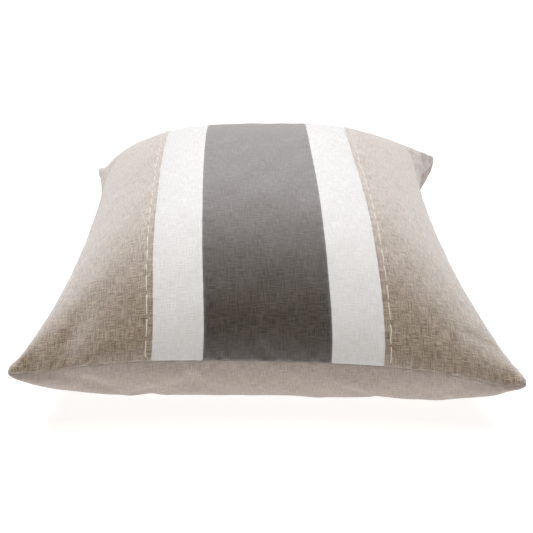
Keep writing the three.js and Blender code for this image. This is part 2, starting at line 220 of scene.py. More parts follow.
crown_rise = crown_height - seam_patch(np.zeros(1), np.zeros(1))[0, 2]


def form_surface(face, u, v):
    """The seam patch, raised by crown_rise f^FRONT_FULLNESS or dropped by BACK_BULGE f^BACK_FULLNESS as far
    as the table, with f = (1 - |u|^FACE_POWER) (1 - |v|^FACE_POWER)."""
    point = seam_patch(u, v)
    f = np.clip((1 - np.abs(u) ** FACE_POWER) * (1 - np.abs(v) ** FACE_POWER), 0, 1)
    if face > 0:
        point[..., 2] += crown_rise * f**FRONT_FULLNESS
    else:
        point[..., 2] = np.maximum(point[..., 2] - BACK_BULGE * f**BACK_FULLNESS, 0)
    return point


def read_between(table, row, column):
    """Bilinear reading of a square table over [-1, 1] x [-1, 1]."""
    size = len(table) - 1
    r, c = (np.clip((at + 1) / 2 * size, 0, size - 1e-9) for at in (row, column))
    r0, c0 = r.astype(int), c.astype(int)
    fr, fc = r - r0, c - c0
    low = table[r0, c0] * (1 - fc) + table[r0, c0 + 1] * fc
    high = table[r0 + 1, c0] * (1 - fc) + table[r0 + 1, c0 + 1] * fc
    return low * (1 - fr) + high * fr


def even_parameters(points, parameter):
    """For each row of points, the parameters at which even shares of the row's length are reached."""
    steps = np.linalg.norm(np.diff(points, axis=1), axis=-1)
    lengths = np.concatenate([np.zeros((len(points), 1)), np.cumsum(steps, 1)], 1)
    shares = 2 * lengths / lengths[:, -1:] - 1
    even = np.linspace(-1, 1, points.shape[1])
    return np.array([np.interp(even, row, parameter) for row in shares])


def laid_on_form(face, s, t):
    """Cloth coordinates s, t in [-1, 1] -> points of the form, so that each thread keeps its even spacing
    along the form: u from s along line v, and v from t along line u, by turns until both settle."""
    even = np.linspace(-1, 1, FORM_LINES)
    bunched = np.sin(even * math.pi / 2)
    row_u = even_parameters(form_surface(face, *np.meshgrid(bunched, even)), bunched)
    column_v = even_parameters(form_surface(face, *np.meshgrid(even, bunched, indexing="ij")), bunched)
    u, v = s.copy(), t.copy()
    for _ in range(SETTLING_ROUNDS):
        u = (u + read_between(row_u, v, s)) / 2
        v = (v + read_between(column_v, u, t)) / 2
    return form_surface(face, u, v)


even_cells = np.linspace(-1, 1, FORM_CELLS + 1)
cloth_s, cloth_t = np.meshgrid(even_cells, even_cells)
rim = (np.abs(cloth_s) == 1) | (np.abs(cloth_t) == 1)
DRIFT_ROUNDS = 30

# The bands draw together over the crown: how far, in millimetres, each of the four seams between the
# bands lies to the right of its own thread, at places from the front edge to the rear one.
DRIFT_SEAMS = np.array([-254, -114.3, -63.5, 63.5, 114.3, 254]) / 254
DRIFT_PLACES = np.array([-1, -0.85, -0.7, -0.55, -0.4, -0.2, 0, 0.2, 0.35, 0.6, 1])
DRIFTS = np.array([
    [0, 0, 0, 0, 0, 0, 0, 0, 0, 0, 0],
    [1.5, 1.8, 4.1, 5.5, 7.9, 8.4, 7.4, 9.0, 10.0, 9, 6],
    [0.6, 0.5, 1.9, 3.3, 4.9, 5.1, 5.2, 6.4, 7.0, 6.5, 4.5],
    [-1.5, -2.1, -3.5, -4.4, -5.2, -4.6, -4.8, -5.4, -6.0, -5.5, -4],
    [-1.2, -1.5, -3.5, -5.8, -6.9, -7.3, -8.3, -10, -10.4, -9, -6],
    [0, 0, 0, 0, 0, 0, 0, 0, 0, 0, 0],
]) * MM / CLOTH_HALF
drift_lines = np.array([np.interp(even_cells, DRIFT_PLACES, line) for line in DRIFTS])
drift = np.array([np.interp(even_cells, DRIFT_SEAMS, column) for column in drift_lines.T])
for _ in range(DRIFT_ROUNDS):
    drift[1:-1] = (drift[:-2] + 2 * drift[1:-1] + drift[2:]) / 4

front_form = laid_on_form(1, cloth_s + drift, cloth_t)
back_form = laid_on_form(-1, cloth_s + drift * rim, cloth_t)
back_form[rim] = front_form[rim]


def grid_quads(index):
    """The four corners of each cell of a grid of vertex numbers, anticlockwise, one row a quad."""
    return np.stack([index[:-1, :-1], index[:-1, 1:], index[1:, 1:], index[1:, :-1]], -1).reshape(-1, 4)


def closed_grids(front, back):
    """Vertices and quads of two grids that share their rim, front facing up and back facing down."""
    count = len(front)
    inner = np.zeros((count, count), bool)
    inner[1:-1, 1:-1] = True
    front_index = np.arange(count * count).reshape(count, count)
    back_index = front_index.copy()
    back_index[inner] = count * count + np.arange(inner.sum())
    points = np.concatenate([front.reshape(count * count, -1), back[inner]])
    faces = np.concatenate([grid_quads(front_index), grid_quads(back_index)[:, ::-1]])
    return points, faces, front_index, back_index


def mesh_object(name, points, faces, cloth=None):
    """A smooth mesh object at the origin, from arrays of points and of quads, with cloth coordinates in
    metres for each point as its UV map."""
    mesh = bpy.data.meshes.new(name)
    mesh.vertices.add(len(points))
    mesh.vertices.foreach_set("co", np.asarray(points, np.float32).ravel())
    mesh.loops.add(faces.size)
    mesh.loops.foreach_set("vertex_index", faces.astype(np.int32).ravel())
    mesh.polygons.add(len(faces))
    mesh.polygons.foreach_set("loop_start", np.arange(0, faces.size, 4, dtype=np.int32))
    mesh.polygons.foreach_set("use_smooth", np.ones(len(faces), bool))
    if cloth is not None:
        layer = mesh.uv_layers.new(name="cloth")
        layer.data.foreach_set("uv", np.asarray(cloth, np.float32)[faces.ravel()].ravel())
    mesh.update(calc_edges=True)
    mesh.validate()
    piece = bpy.data.objects.new(name, mesh)
    scene.collection.objects.link(piece)
    return piece


SIMULATION_STEPS = 20
LAYER_GAP = 0.5 * MM
TABLE_SHARE = 0.6
CLOTH_SETTINGS = {
    "vertex_group_mass": "held", "quality": 8, "tension_stiffness": 25, "compression_stiffness": 25,
    "shear_stiffness": 8, "bending_stiffness": 1.2, "use_pressure": True, "uniform_pressure_force": 5.0,
}


def blown_up(front, back):
    """Cloth simulation of the two squares: it starts from the form, every thread wants its flat length, and
    the filling presses from inside. The zipped stretch and the part on the table are held. Returns both
    grids."""
    points, faces, front_index, back_index = closed_grids(front, back)
    bag = mesh_object("bag", points, faces)
    bag.shape_key_add(name="filled")
    flat = bag.shape_key_add(name="flat")
    flat_points = np.zeros_like(points)
    for index, height in ((back_index, -LAYER_GAP), (front_index, LAYER_GAP)):
        layer = np.stack([cloth_s * CLOTH_HALF, cloth_t * CLOTH_HALF, np.where(rim, 0, height)], -1)
        flat_points[index] = layer
    flat.data.foreach_set("co", flat_points.ravel())
    held = bag.vertex_groups.new(name="held")
    middle = np.maximum(np.abs(cloth_s), np.abs(cloth_t)) < TABLE_SHARE
    on_table = back_index[(back[..., 2] <= 0) & middle]
    in_zip = front_index[-1, np.abs(front[-1, :, 0]) <= zip_half]
    held.add([int(k) for k in np.concatenate([on_table, in_zip])], 1.0, "REPLACE")
    cloth = bag.modifiers.new("cloth", "CLOTH")
    cloth.settings.rest_shape_key = flat
    for setting, value in CLOTH_SETTINGS.items():
        setattr(cloth.settings, setting, value)
    cloth.settings.effector_weights.gravity = 0
    cloth.collision_settings.use_collision = False
    cloth.collision_settings.use_self_collision = False
    for step in range(SIMULATION_STEPS):
        scene.frame_set(step + 1)
    evaluated = bag.evaluated_get(bpy.context.evaluated_depsgraph_get())
    blown = np.zeros(len(points) * 3, np.float32)
    evaluated.data.vertices.foreach_get("co", blown)
    blown = blown.reshape(-1, 3).astype(float)
    bpy.data.objects.remove(bag)
    scene.frame_set(1)
    return blown[front_index], blown[back_index]


def from_each_edge(*grids):
    """Four views of the grids, each with another edge as the first row, and whether rows and columns are
    swapped in it."""
    for turned in (False, True):
        for order in (1, -1):
            yield turned, [(grid.transpose(1, 0, 2) if turned else grid)[::order] for grid in grids]


def spread_out(front, back, rounds):
    """Each point takes the mean of its four neighbours, over and over; a rim point's are two along the rim
    and one on each face, and a tip's are two. It leaves only the slow changes over the cloth."""
    for _ in range(rounds):
        new_front, new_back = front.copy(), back.copy()
        for grid, new in ((front, new_front), (back, new_back)):
            new[1:-1, 1:-1] = (grid[:-2, 1:-1] + grid[2:, 1:-1] + grid[1:-1, :-2] + grid[1:-1, 2:]) / 4
        for _, (top, bottom, new) in from_each_edge(front, back, new_front):
            new[0, 1:-1] = (top[1, 1:-1] + bottom[1, 1:-1] + top[0, :-2] + top[0, 2:]) / 4
            new[0, [0, -1]] = (top[0, [1, -2]] + top[1, [0, -1]]) / 2
        new_back[rim] = new_front[rim]
        front, back = new_front, new_back
    return front, back


def calm_rim(front, back, reach, rounds):
    """Takes the slow part of each edge's shift, except along the edge, off both grids, by
    exp(-(distance / reach)^2)."""
    cell = 2 * CLOTH_HALF / FORM_CELLS
    fade = np.exp(-((np.arange(FORM_CELLS + 1) * cell / reach) ** 2))[:, None, None]
    for turned, faces in from_each_edge(front, back):
        slow = faces[0][0].copy()
        for _ in range(rounds):
            slow[1:-1] = (slow[:-2] + 2 * slow[1:-1] + slow[2:]) / 4
        slow[:, int(turned)] = 0
        for grid in faces:
            grid -= fade * slow[None]


front_cloth, back_cloth = front_form.copy(), back_form.copy()
# Only the simulation's wrinkles are kept: what it moved, less the slow part of that. They fade out at
# the zipped seam, which the zipper holds straight.
WRINKLE_ROUNDS = 130
ZIP_CALM = 18 * MM
RIM_REACH = 28 * MM
RIM_ROUNDS = 60
blown_front, blown_back = blown_up(front_form, back_form)
moved_front, moved_back = blown_front - front_form, blown_back - back_form
slow_front, slow_back = spread_out(moved_front, moved_back, WRINKLE_ROUNDS)
front_detail, back_detail = moved_front - slow_front, moved_back - slow_back
calm_rim(front_detail, back_detail, RIM_REACH, RIM_ROUNDS)
past_zip = np.maximum(np.abs(cloth_s) * CLOTH_HALF - zip_half, 0)
from_zip = np.hypot((1 - cloth_t) * CLOTH_HALF, past_zip)
calm = (1 - np.exp(-((from_zip / ZIP_CALM) ** 2)))[..., None]
front_cloth += front_detail * calm
back_cloth += back_detail * calm
back_cloth[rim] = front_cloth[rim]
back_cloth[..., 2] = np.maximum(back_cloth[..., 2], 0)

# The turned corners are blunt, as the seam allowances fill them: each tip moves towards the middle of the
# points of both faces that are two cells in.
CORNER_BLUNTING = 2.8 * MM
for i, j in ((0, 0), (0, -1), (-1, 0), (-1, -1)):
    two_in = (2, -3)[i], (2, -3)[j]
    way = (front_cloth[two_in] + back_cloth[two_in]) / 2 - front_cloth[i, j]
    front_cloth[i, j] += way / np.linalg.norm(way) * CORNER_BLUNTING
    back_cloth[i, j] = front_cloth[i, j]

# Folds pressed into both faces: start and end in flat cloth, depth and half width, in millimetres. A fold
# is never deeper than FOLD_GAP_SHARE of the distance between the faces.
FRONT_FOLDS = np.array([
    (-199, -262, -200, -229, 2.4, 13), (-200, -229, -190, -207, 1.5, 15), (-190, -207, -174, -188, 0.9, 16),
    (204, 166, 232, 122, 3.2, 8), (212, 207, 238, 182, 1.8, 6), (224, 234, 240, 210, 1.4, 5),
    (-204, 160, -236, 118, 3.6, 8), (200, -207, 234, -214, 1.1, 6), (-2, -262, -6, -238, 1.5, 6),
]) * MM
BACK_FOLDS = np.array([(-5, -262, -7, -222, 1.3, 4.5), (60, -262, 74, -236, 0.6, 6)]) * MM
FOLD_GAP_SHARE = 0.12
FOLD_RIM_FADE = 9 * MM


def fold_depth(folds, s, t):
    """For each fold, depth exp(-(r / half width)^2), where r is the distance to its line, all added up."""
    total = np.zeros_like(s)
    for x0, y0, x1, y1, depth, width in folds:
        run = np.array([x1 - x0, y1 - y0])
        share = np.clip(((s - x0) * run[0] + (t - y0) * run[1]) / (run @ run), 0, 1)
        r = np.hypot(s - x0 - share * run[0], t - y0 - share * run[1])
        total += depth * np.exp(-((r / width) ** 2))
    return total


def grid_normals(grid):
    """Unit cross products of the steps along a grid's rows and up its columns."""
    normal = np.cross(np.gradient(grid, axis=1), np.gradient(grid, axis=0))
    return normal / np.linalg.norm(normal, axis=-1, keepdims=True)


from_rim = (1 - np.maximum(np.abs(cloth_s), np.abs(cloth_t))) * CLOTH_HALF
cloth_gap = np.linalg.norm(front_cloth - back_cloth, axis=-1)
for side, face_cloth, folds in ((1, front_cloth, FRONT_FOLDS), (-1, back_cloth, BACK_FOLDS)):
    fold_shift = fold_depth(folds, cloth_s * CLOTH_HALF, cloth_t * CLOTH_HALF)
    fold_shift = np.minimum(fold_shift * np.minimum(1, from_rim / FOLD_RIM_FADE), cloth_gap * FOLD_GAP_SHARE)
    face_cloth -= side * grid_normals(face_cloth) * fold_shift[..., None]
cloth_grids = {1: front_cloth, -1: back_cloth}


def line_weights(at, count):
    """Catmull-Rom weights: row k holds the share of each of a line's count points, spaced evenly over
    [-1, 1], in the point at at[k]. Past its ends the line goes on straight."""
    place = np.clip((at + 1) / 2 * (count - 1), 0, count - 1)
    first = np.minimum(place.astype(int), count - 2)
    f = place - first
    shares = np.stack([-f + 2 * f**2 - f**3, 2 - 5 * f**2 + 3 * f**3,
                       f + 4 * f**2 - 3 * f**3, f**3 - f**2], 1) / 2
    weights = np.zeros((len(at), count + 2))
    for k in range(4):
        weights[np.arange(len(at)), first + k] += shares[:, k]
    for outside, end, inner in ((0, 1, 2), (-1, -2, -3)):
        weights[:, end] += 2 * weights[:, outside]
        weights[:, inner] -= weights[:, outside]
    return weights[:, 1:-1]


def cloth_points(face, across, along):
    """Points of the filled cloth at every pair of flat places across and along, in metres: the cloth's grid,
    weighted along both ways."""
    rows = line_weights(np.asarray(along) / CLOTH_HALF, FORM_CELLS + 1)
    columns = line_weights(np.asarray(across) / CLOTH_HALF, FORM_CELLS + 1)
    return np.einsum("ra,abk,cb->rck", rows, cloth_grids[face], columns, optimize=True)


def unit(vectors):
    """Vectors over their lengths."""
    return vectors / np.maximum(np.linalg.norm(vectors, axis=-1, keepdims=True), 1e-12)


CHORD = 1.5 * MM


def cloth_normals(face, across, along):
    """Outward unit normals: the cross product of the chords to points CHORD away on either side."""
    low = [np.maximum(np.asarray(line) - CHORD, -CLOTH_HALF) for line in (across, along)]
    high = [np.minimum(np.asarray(line) + CHORD, CLOTH_HALF) for line in (across, along)]
    chord_s = cloth_points(face, high[0], along) - cloth_points(face, low[0], along)
    chord_t = cloth_points(face, across, high[1]) - cloth_points(face, across, low[1])
    return unit(np.cross(chord_s, chord_t)) * face


def shell(name, outer, inner, cloth, face):
    """A closed shell of an outer and an inner grid and the four walls between their rims."""
    rows, columns = outer.shape[:2]
    a = np.arange(rows * columns).reshape(rows, columns)
    b = a + rows * columns
    loop = np.concatenate([a[0], a[1:, -1], a[-1, -2::-1], a[-2:0:-1, 0]])
    ahead = np.roll(loop, -1)
    walls = np.stack([ahead, loop, loop + rows * columns, ahead + rows * columns], -1)
    faces = np.concatenate([grid_quads(a), grid_quads(b)[:, ::-1], walls])
    points = np.concatenate([outer.reshape(-1, 3), inner.reshape(-1, 3)])
    places = np.tile(cloth.reshape(-1, 2), (2, 1))
    return mesh_object(name, points, faces if face > 0 else faces[:, ::-1], places)


def wobble(x, longest, shortest, seed, waves=9):
    """A smooth irregular wave: sines of seeded random phase and of lengths from longest to shortest, added
    up."""
    rng = np.random.default_rng(seed)
    lengths = np.geomspace(longest, shortest, waves)
    phases = rng.uniform(0, 2 * math.pi, waves)
    total = sum(np.sin(2 * math.pi * x / length + phase) for length, phase in zip(lengths, phases))
    return total / math.sqrt(waves / 2)


def rolling(s, t, longest, shortest, seed, waves=14):
    """A smooth irregular surface: plane waves of seeded random direction, length and phase, added up."""
    rng = np.random.default_rng(seed)
    total = np.zeros(np.broadcast(s, t).shape)
    for length in np.geomspace(longest, shortest, waves):
        turn, phase = rng.uniform(0, math.pi), rng.uniform(0, 2 * math.pi)
        total += np.sin(2 * math.pi * (s * math.cos(turn) + t * math.sin(turn)) / length + phase)
    return total / math.sqrt(waves / 2)


INSERT_REACH = 0.895
INSERT_CLEARANCE = 3.7 * MM
TICKING_THICKNESS = 0.7 * MM
LINE_BUNCHING = 0.6


def insert_layer(cells, clearance, reach=INSERT_REACH):
    """Both faces of a closed form inside the cover: from the middle surface towards each face, as far as that
    face less the clearance, times ((1 - s^8)(1 - t^8))^0.5, so that they meet at the rim. The lines lie
    closer to each other near the rim, by LINE_BUNCHING of a sine."""
    even = np.linspace(-1, 1, cells + 1)
    line = np.sin(even * math.pi / 2) * LINE_BUNCHING + even * (1 - LINE_BUNCHING)
    place = line * reach * CLOTH_HALF
    top, bottom = (cloth_points(face, place, place) for face in (1, -1))
    middle, half = (top + bottom) / 2, (top - bottom) / 2
    length = np.linalg.norm(half, axis=-1, keepdims=True)
    s, t = np.meshgrid(line, line)
    share = np.sqrt(np.clip((1 - s**8) * (1 - t**8), 0, 1))[..., None]
    half = half / np.maximum(length, 1e-9) * np.maximum(length - clearance, 0) * share
    return middle + half, middle - half, np.stack(np.meshgrid(place, place), -1)


FILLING_CELLS = 90
FILLING_GAP = 3.1 * MM
FILLING_SHARE = 0.985
CLUMP_SIZE, CLUMP_HEIGHT, CLUMP_LIMIT = 22 * MM, 0.4 * MM, 1 * MM
CLUMP_FADE = 12 * MM
filling_top, filling_bottom, filling_place = insert_layer(
    FILLING_CELLS, INSERT_CLEARANCE + TICKING_THICKNESS + FILLING_GAP, INSERT_REACH * FILLING_SHARE,
)
clumps = rolling(filling_place[..., 0], filling_place[..., 1], 3 * CLUMP_SIZE, CLUMP_SIZE / 2, 11)
thickness = np.linalg.norm(filling_top - filling_bottom, axis=-1)
filling_top[..., 2] += np.minimum(clumps * CLUMP_HEIGHT, CLUMP_LIMIT) * np.minimum(1, thickness / CLUMP_FADE)
filling_points, filling_faces = closed_grids(filling_top, filling_bottom)[:2]
filling_map = closed_grids(filling_place, filling_place)[0]
filling = mesh_object("loose_feather_filling", filling_points, filling_faces, filling_map)


def add_node(tree, kind, inputs=None, **settings):
    """A shader node with its settings, and each input linked to a socket or set to a value."""
    node = tree.nodes.new(kind)
    for name, value in settings.items():
        setattr(node, name, value)
    for key, value in (inputs or {}).items():
        if isinstance(value, bpy.types.NodeSocket):
            tree.links.new(value, node.inputs[key])
        else:
            node.inputs[key].default_value = value
    return node


def calculate(tree, operation, *values):
    """The output of one Math node."""
    return add_node(tree, "ShaderNodeMath", dict(enumerate(values)), operation=operation).outputs[0]


def streaks(tree, cloth, size, detail=2.0, shift=0.0):
    """Noise over the cloth, drawn out to patches of the given size: their width and their length."""
    stretched = add_node(tree, "ShaderNodeVectorMath",
                         {0: cloth, 1: (1 / size[0], 1 / size[1], 1.0), 2: (shift,) * 3},
                         operation="MULTIPLY_ADD").outputs[0]
    return add_node(tree, "ShaderNodeTexNoise",
                    {"Vector": stretched, "Scale": 1.0, "Detail": detail, "Roughness": 0.6},
                    noise_dimensions="2D").outputs[0]


def blended(tree, share, dark, light):
    """The colour from dark to light by the share."""
    return add_node(tree, "ShaderNodeMix", {0: share, 6: dark, 7: light}, data_type="RGBA").outputs[2]


def ramped(tree, value, low, high, to_low=0.0, to_high=1.0):
    """The value with low..high spread over to_low..to_high, and no further."""
    return add_node(tree, "ShaderNodeMapRange", {"Value": value, "From Min": low, "From Max": high,
                                                 "To Min": to_low, "To Max": to_high}).outputs[0]


def relief(tree, height, strength, distance):
    """The normal of a surface raised by the height times the distance."""
    values = {"Height": height, "Strength": strength, "Distance": distance}
    return add_node(tree, "ShaderNodeBump", values).outputs["Normal"]


def new_group(name, inputs, outputs):
    """An empty shader node group with its sockets, and what comes in through them. Every group takes the
    colours Dark and Light, and gives Color and Normal."""
    tree = bpy.data.node_groups.new(name, "ShaderNodeTree")
    inputs = {**inputs, "Dark": "Color", "Light": "Color"}
    outputs = {**outputs, "Color": "Color", "Normal": "Vector"}
    for side, sockets in (("INPUT", inputs), ("OUTPUT", outputs)):
        for socket, kind in sockets.items():
            tree.interface.new_socket(name=socket, in_out=side, socket_type=f"NodeSocket{kind}")
    return tree, tree.nodes.new("NodeGroupInput").outputs


def put_out(tree, **made):
    """Links sockets to the group's outputs of the same names."""
    output = tree.nodes.new("NodeGroupOutput")
    for name, socket in made.items():
        tree.links.new(socket, output.inputs[name])
    return tree


BARB_SIZE, TUFT_SIZE = (0.7 * MM, 5 * MM), (14 * MM, 18 * MM)


def feather_clump_group():
    """Colour and relief of loose feathers: fine streaks over soft clumps."""
    tree, given = new_group("feather_clumps", {"Cloth": "Vector"}, {})
    fine = streaks(tree, given["Cloth"], BARB_SIZE, 3.0)
    soft = streaks(tree, given["Cloth"], TUFT_SIZE, 2.0, 7.0)
    both = calculate(tree, "MULTIPLY_ADD", fine, 0.5, calculate(tree, "MULTIPLY", soft, 0.5))
    tone = ramped(tree, both, 0.3, 0.7)
    return put_out(tree, Color=blended(tree, tone, given["Dark"], given["Light"]),
                   Normal=relief(tree, tone, 0.7, 0.8 * MM))


def patterned(name, group, values, **shader_values):
    """A material whose colour, roughness and normal come from a node group with the given values, and the
    group's node in it."""
    material = shader_material(name, **shader_values)
    tree = material.node_tree
    pattern = add_node(tree, "ShaderNodeGroup", values, node_tree=group)
    for made, socket in (("Color", "Base Color"), ("Roughness", "Roughness"), ("Normal", "Normal")):
        if made in pattern.outputs:
            tree.links.new(pattern.outputs[made], tree.nodes["Principled BSDF"].inputs[socket])
    return material, pattern


# Painted sheen and shade on the cloth: the power on facing, and the low and tone shares that scale the
# painted colour by the thread tone.
PAINTED_SHEEN_SHADE_POWER = 0.65
PAINTED_SHEEN_SHADE_LOW, PAINTED_SHEEN_SHADE_TONE = 0.86, 0.30


def fabric(name, group, values, painted_sheen_and_shade=None, **shader_values):
    """A patterned material laid on the piece's cloth map. The optional pair after the values is the colour
    and the share of painted sheen and shade where the cloth turns away from the eye: the share times facing
    to the power above, in a colour that is scaled by the low value plus the tone share times the tone. A pale
    colour paints sheen, a dark one paints shade."""
    material, pattern = patterned(name, group, values, **shader_values)
    tree = material.node_tree
    map_node = add_node(tree, "ShaderNodeUVMap", uv_map="cloth")
    tree.links.new(map_node.outputs[0], pattern.inputs["Cloth"])
    if painted_sheen_and_shade:
        colour, most = painted_sheen_and_shade
        # Painted sheen and shade: Layer Weight's facing mixes the base colour towards the given colour where
        # the cloth turns from the eye, in place of light that grazes it. fibres holds that painted colour.
        facing = add_node(tree, "ShaderNodeLayerWeight", {"Blend": 0.5}).outputs["Facing"]
        share = calculate(tree, "MULTIPLY", calculate(tree, "POWER", facing, PAINTED_SHEEN_SHADE_POWER), most)
        shade = calculate(tree, "MULTIPLY_ADD", pattern.outputs["Tone"], PAINTED_SHEEN_SHADE_TONE, PAINTED_SHEEN_SHADE_LOW)
        fibres = add_node(tree, "ShaderNodeVectorMath", {0: colour, "Scale": shade}, operation="SCALE")
        sheen_and_shade_painted = blended(tree, share, pattern.outputs["Color"], fibres.outputs[0])
        tree.links.new(sheen_and_shade_painted, tree.nodes["Principled BSDF"].inputs["Base Color"])
    return material


def finish_piece(piece, material, body, replaced):
    """Gives a piece its material and slot, puts it on the body it rides on, and hides the CAD node it stands
    for."""
    piece.data.materials.clear()
    piece.data.materials.append(material)
    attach(piece, body)
    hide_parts(replaced)


feathers = fabric("feather_and_down", feather_clump_group(),
                  {"Dark": (0.78, 0.76, 0.72, 1), "Light": (0.95, 0.94, 0.91, 1)},
                  Roughness=0.95, Sheen_Weight=0.4)
finish_piece(filling, feathers, "pillow", "insert_filling")


# ---- Insert's ticking -------------------------------------------------------------------------------
# Two squares of close-woven white cotton, a little smaller than the cover, sewn edge to edge round the
# filling. Down-proof cloth is thin and smooth, and shows only a fine plain weave.

TICKING_CELLS = 110
TICKING_THREAD = 0.45 * MM
TICKING_STREAK = (0.6 * MM, 25 * MM)
INSERT_SEAM_GAP = 0.25 * MM
INNER_SHARE = 0.995


def plain_weave(tree, cloth, pitch, unevenness):
    """Height of a plain weave: sin x sin y over threads of one pitch, where noise, drawn out along each
    thread, shifts x and y a little."""
    long, short = 30 * pitch, 3 * pitch
    parts = add_node(tree, "ShaderNodeSeparateXYZ", {0: cloth}).outputs
    waves = []
    for part, size, shift in ((parts[0], (short, long), 3.0), (parts[1], (long, short), 5.0)):
        wander = calculate(tree, "MULTIPLY", streaks(tree, cloth, size, 1.0, shift), unevenness)
        turns = calculate(tree, "MULTIPLY_ADD", part, math.pi / pitch, wander)
        waves.append(calculate(tree, "SINE", turns))
    return calculate(tree, "MULTIPLY_ADD", calculate(tree, "MULTIPLY", *waves), 0.5, 0.5)


def close_weave_group():
    """Colour and relief of a close plain weave with very slight streaks."""
    tree, given = new_group("close_weave", {"Cloth": "Vector", "Relief": "Float"}, {})
    weave = plain_weave(tree, given["Cloth"], TICKING_THREAD, 2.0)
    tone = calculate(tree, "MULTIPLY_ADD", streaks(tree, given["Cloth"], TICKING_STREAK), 0.8,
                     calculate(tree, "MULTIPLY", weave, 0.2))
    return put_out(tree, Color=blended(tree, tone, given["Dark"], given["Light"]),
                   Normal=relief(tree, weave, 0.6, given["Relief"]))


close_weave = close_weave_group()
ticking_cloth = fabric("white_ticking", close_weave,
                       {"Dark": (0.80, 0.79, 0.76, 1), "Light": (0.90, 0.89, 0.87, 1), "Relief": 0.1 * MM},
                       Roughness=0.7, Sheen_Weight=0.15)
outside = insert_layer(TICKING_CELLS, INSERT_CLEARANCE)
inside = insert_layer(TICKING_CELLS, INSERT_CLEARANCE + TICKING_THICKNESS, INSERT_REACH * INNER_SHARE)
for index, face, side in ((0, 1, "front"), (1, -1, "back")):
    for layer in (outside[index], inside[index]):
        layer[..., 2] += face * INSERT_SEAM_GAP
    ticking = shell(f"insert_{side}_ticking_cloth", outside[index], inside[index], outside[2], face)
    finish_piece(ticking, ticking_cloth, "pillow", f"insert_{side}_ticking")


# ---- Back panel -------------------------------------------------------------------------------------
# One plain square of pale oatmeal linen. Its edges are sewn to the front, right sides together, and
# turned in, and its rear edge is folded in along the zipper. Filling presses it flat on the table.

LINEN_THICKNESS = 0.7 * MM
TABLE_CLEARANCE = 0.3 * MM
SEAM_TURN_INS = np.array([0.35, 1.0, 2.2, 3.4]) * MM
LIP_REACH = 3.0 * MM
SEWN_LIP, ZIP_LIP = 0.12 * MM, 1.15 * MM
ZIP_LIP_END, ZIP_LIP_FADE = 9 * MM, 8 * MM
ZIP_TURN_IN_CUT = 0.55
PUCKER_DEPTH, PUCKER_REACH, PUCKER_START = 0.55 * MM, 8 * MM, 2.5 * MM
PUCKER_LONGEST, PUCKER_SHORTEST = 34 * MM, 9 * MM
ZIP_PUCKER_SHARE = 0.35
FOLD_ROUNDING, FOLD_ROUND_REACH = 0.3 * MM, 0.9 * MM
ROLL_DEPTH, ROLL_FADE = 0.22 * MM, 12 * MM
ROLL_LONGEST, ROLL_SHORTEST = 120 * MM, 30 * MM
TIP_PLUMPNESS, TIP_PLUMP_PLACE, TIP_PLUMP_REACH = 1.8 * MM, 7 * MM, 8 * MM
TIP_ROUNDING = 2.5 * MM
TIP_CALM, LEAST_ROOM = 14 * MM, 0.04
PRESSED_TRIM = 0.08 * MM
BACK_SPACING = 3.0 * MM
BACK_SEED = 40
FINE_SPACING = np.array([0.0, 0.45, 1.0, 1.9, 3.2, 5.0]) * MM


def cloth_lines(start, end, spacing, close_to_start=True, close_to_end=True):
    """Places from start to end, about one spacing apart, and closer by the steps of FINE_SPACING at the ends
    that are seams."""
    head = start + FINE_SPACING if close_to_start else np.array([start])
    tail = (end - FINE_SPACING)[::-1] if close_to_end else np.array([end])
    count = max(2, round((tail[0] - head[-1]) / spacing))
    return np.concatenate([head[:-1], np.linspace(head[-1], tail[0], count + 1), tail[1:]])


def lip_gap(across, along):
    """Half the slit between the two faces' edges: SEWN_LIP round the cover, and ZIP_LIP along the zipper."""
    edge_x = np.interp(across, cloth_s[-1] * CLOTH_HALF, front_cloth[-1, :, 0])
    past = np.clip((zip_half + ZIP_LIP_END - np.abs(edge_x)) / ZIP_LIP_FADE, 0, 1)
    at_zip = (along > 0.99 * CLOTH_HALF) * past**2 * (3 - 2 * past)
    return SEWN_LIP + (ZIP_LIP - SEWN_LIP) * at_zip


def rim_directions(face, across, along):
    """At the cover's edge: inward, against the sum of both faces' normals, and away from the other face.
    Towards a tip, where no cloth is left to turn in, the way inward gets as short as distance / TIP_CALM, and
    along the zipper it is shorter by ZIP_TURN_IN_CUT."""
    mine, other = (cloth_normals(side, across, along) for side in (face, -face))
    s, t = np.meshgrid(across, along)
    from_tip = np.hypot(CLOTH_HALF - np.abs(s), CLOTH_HALF - np.abs(t))
    opened = (lip_gap(s, t) - SEWN_LIP) / (ZIP_LIP - SEWN_LIP)
    room = (np.clip(from_tip / TIP_CALM, LEAST_ROOM, 1) * (1 - ZIP_TURN_IN_CUT * opened))[..., None]
    return unit(-mine - other) * room, unit(mine - other)


def bell(distance, reach):
    """exp(-(distance / reach)^2)."""
    return np.exp(-((distance / reach) ** 2))


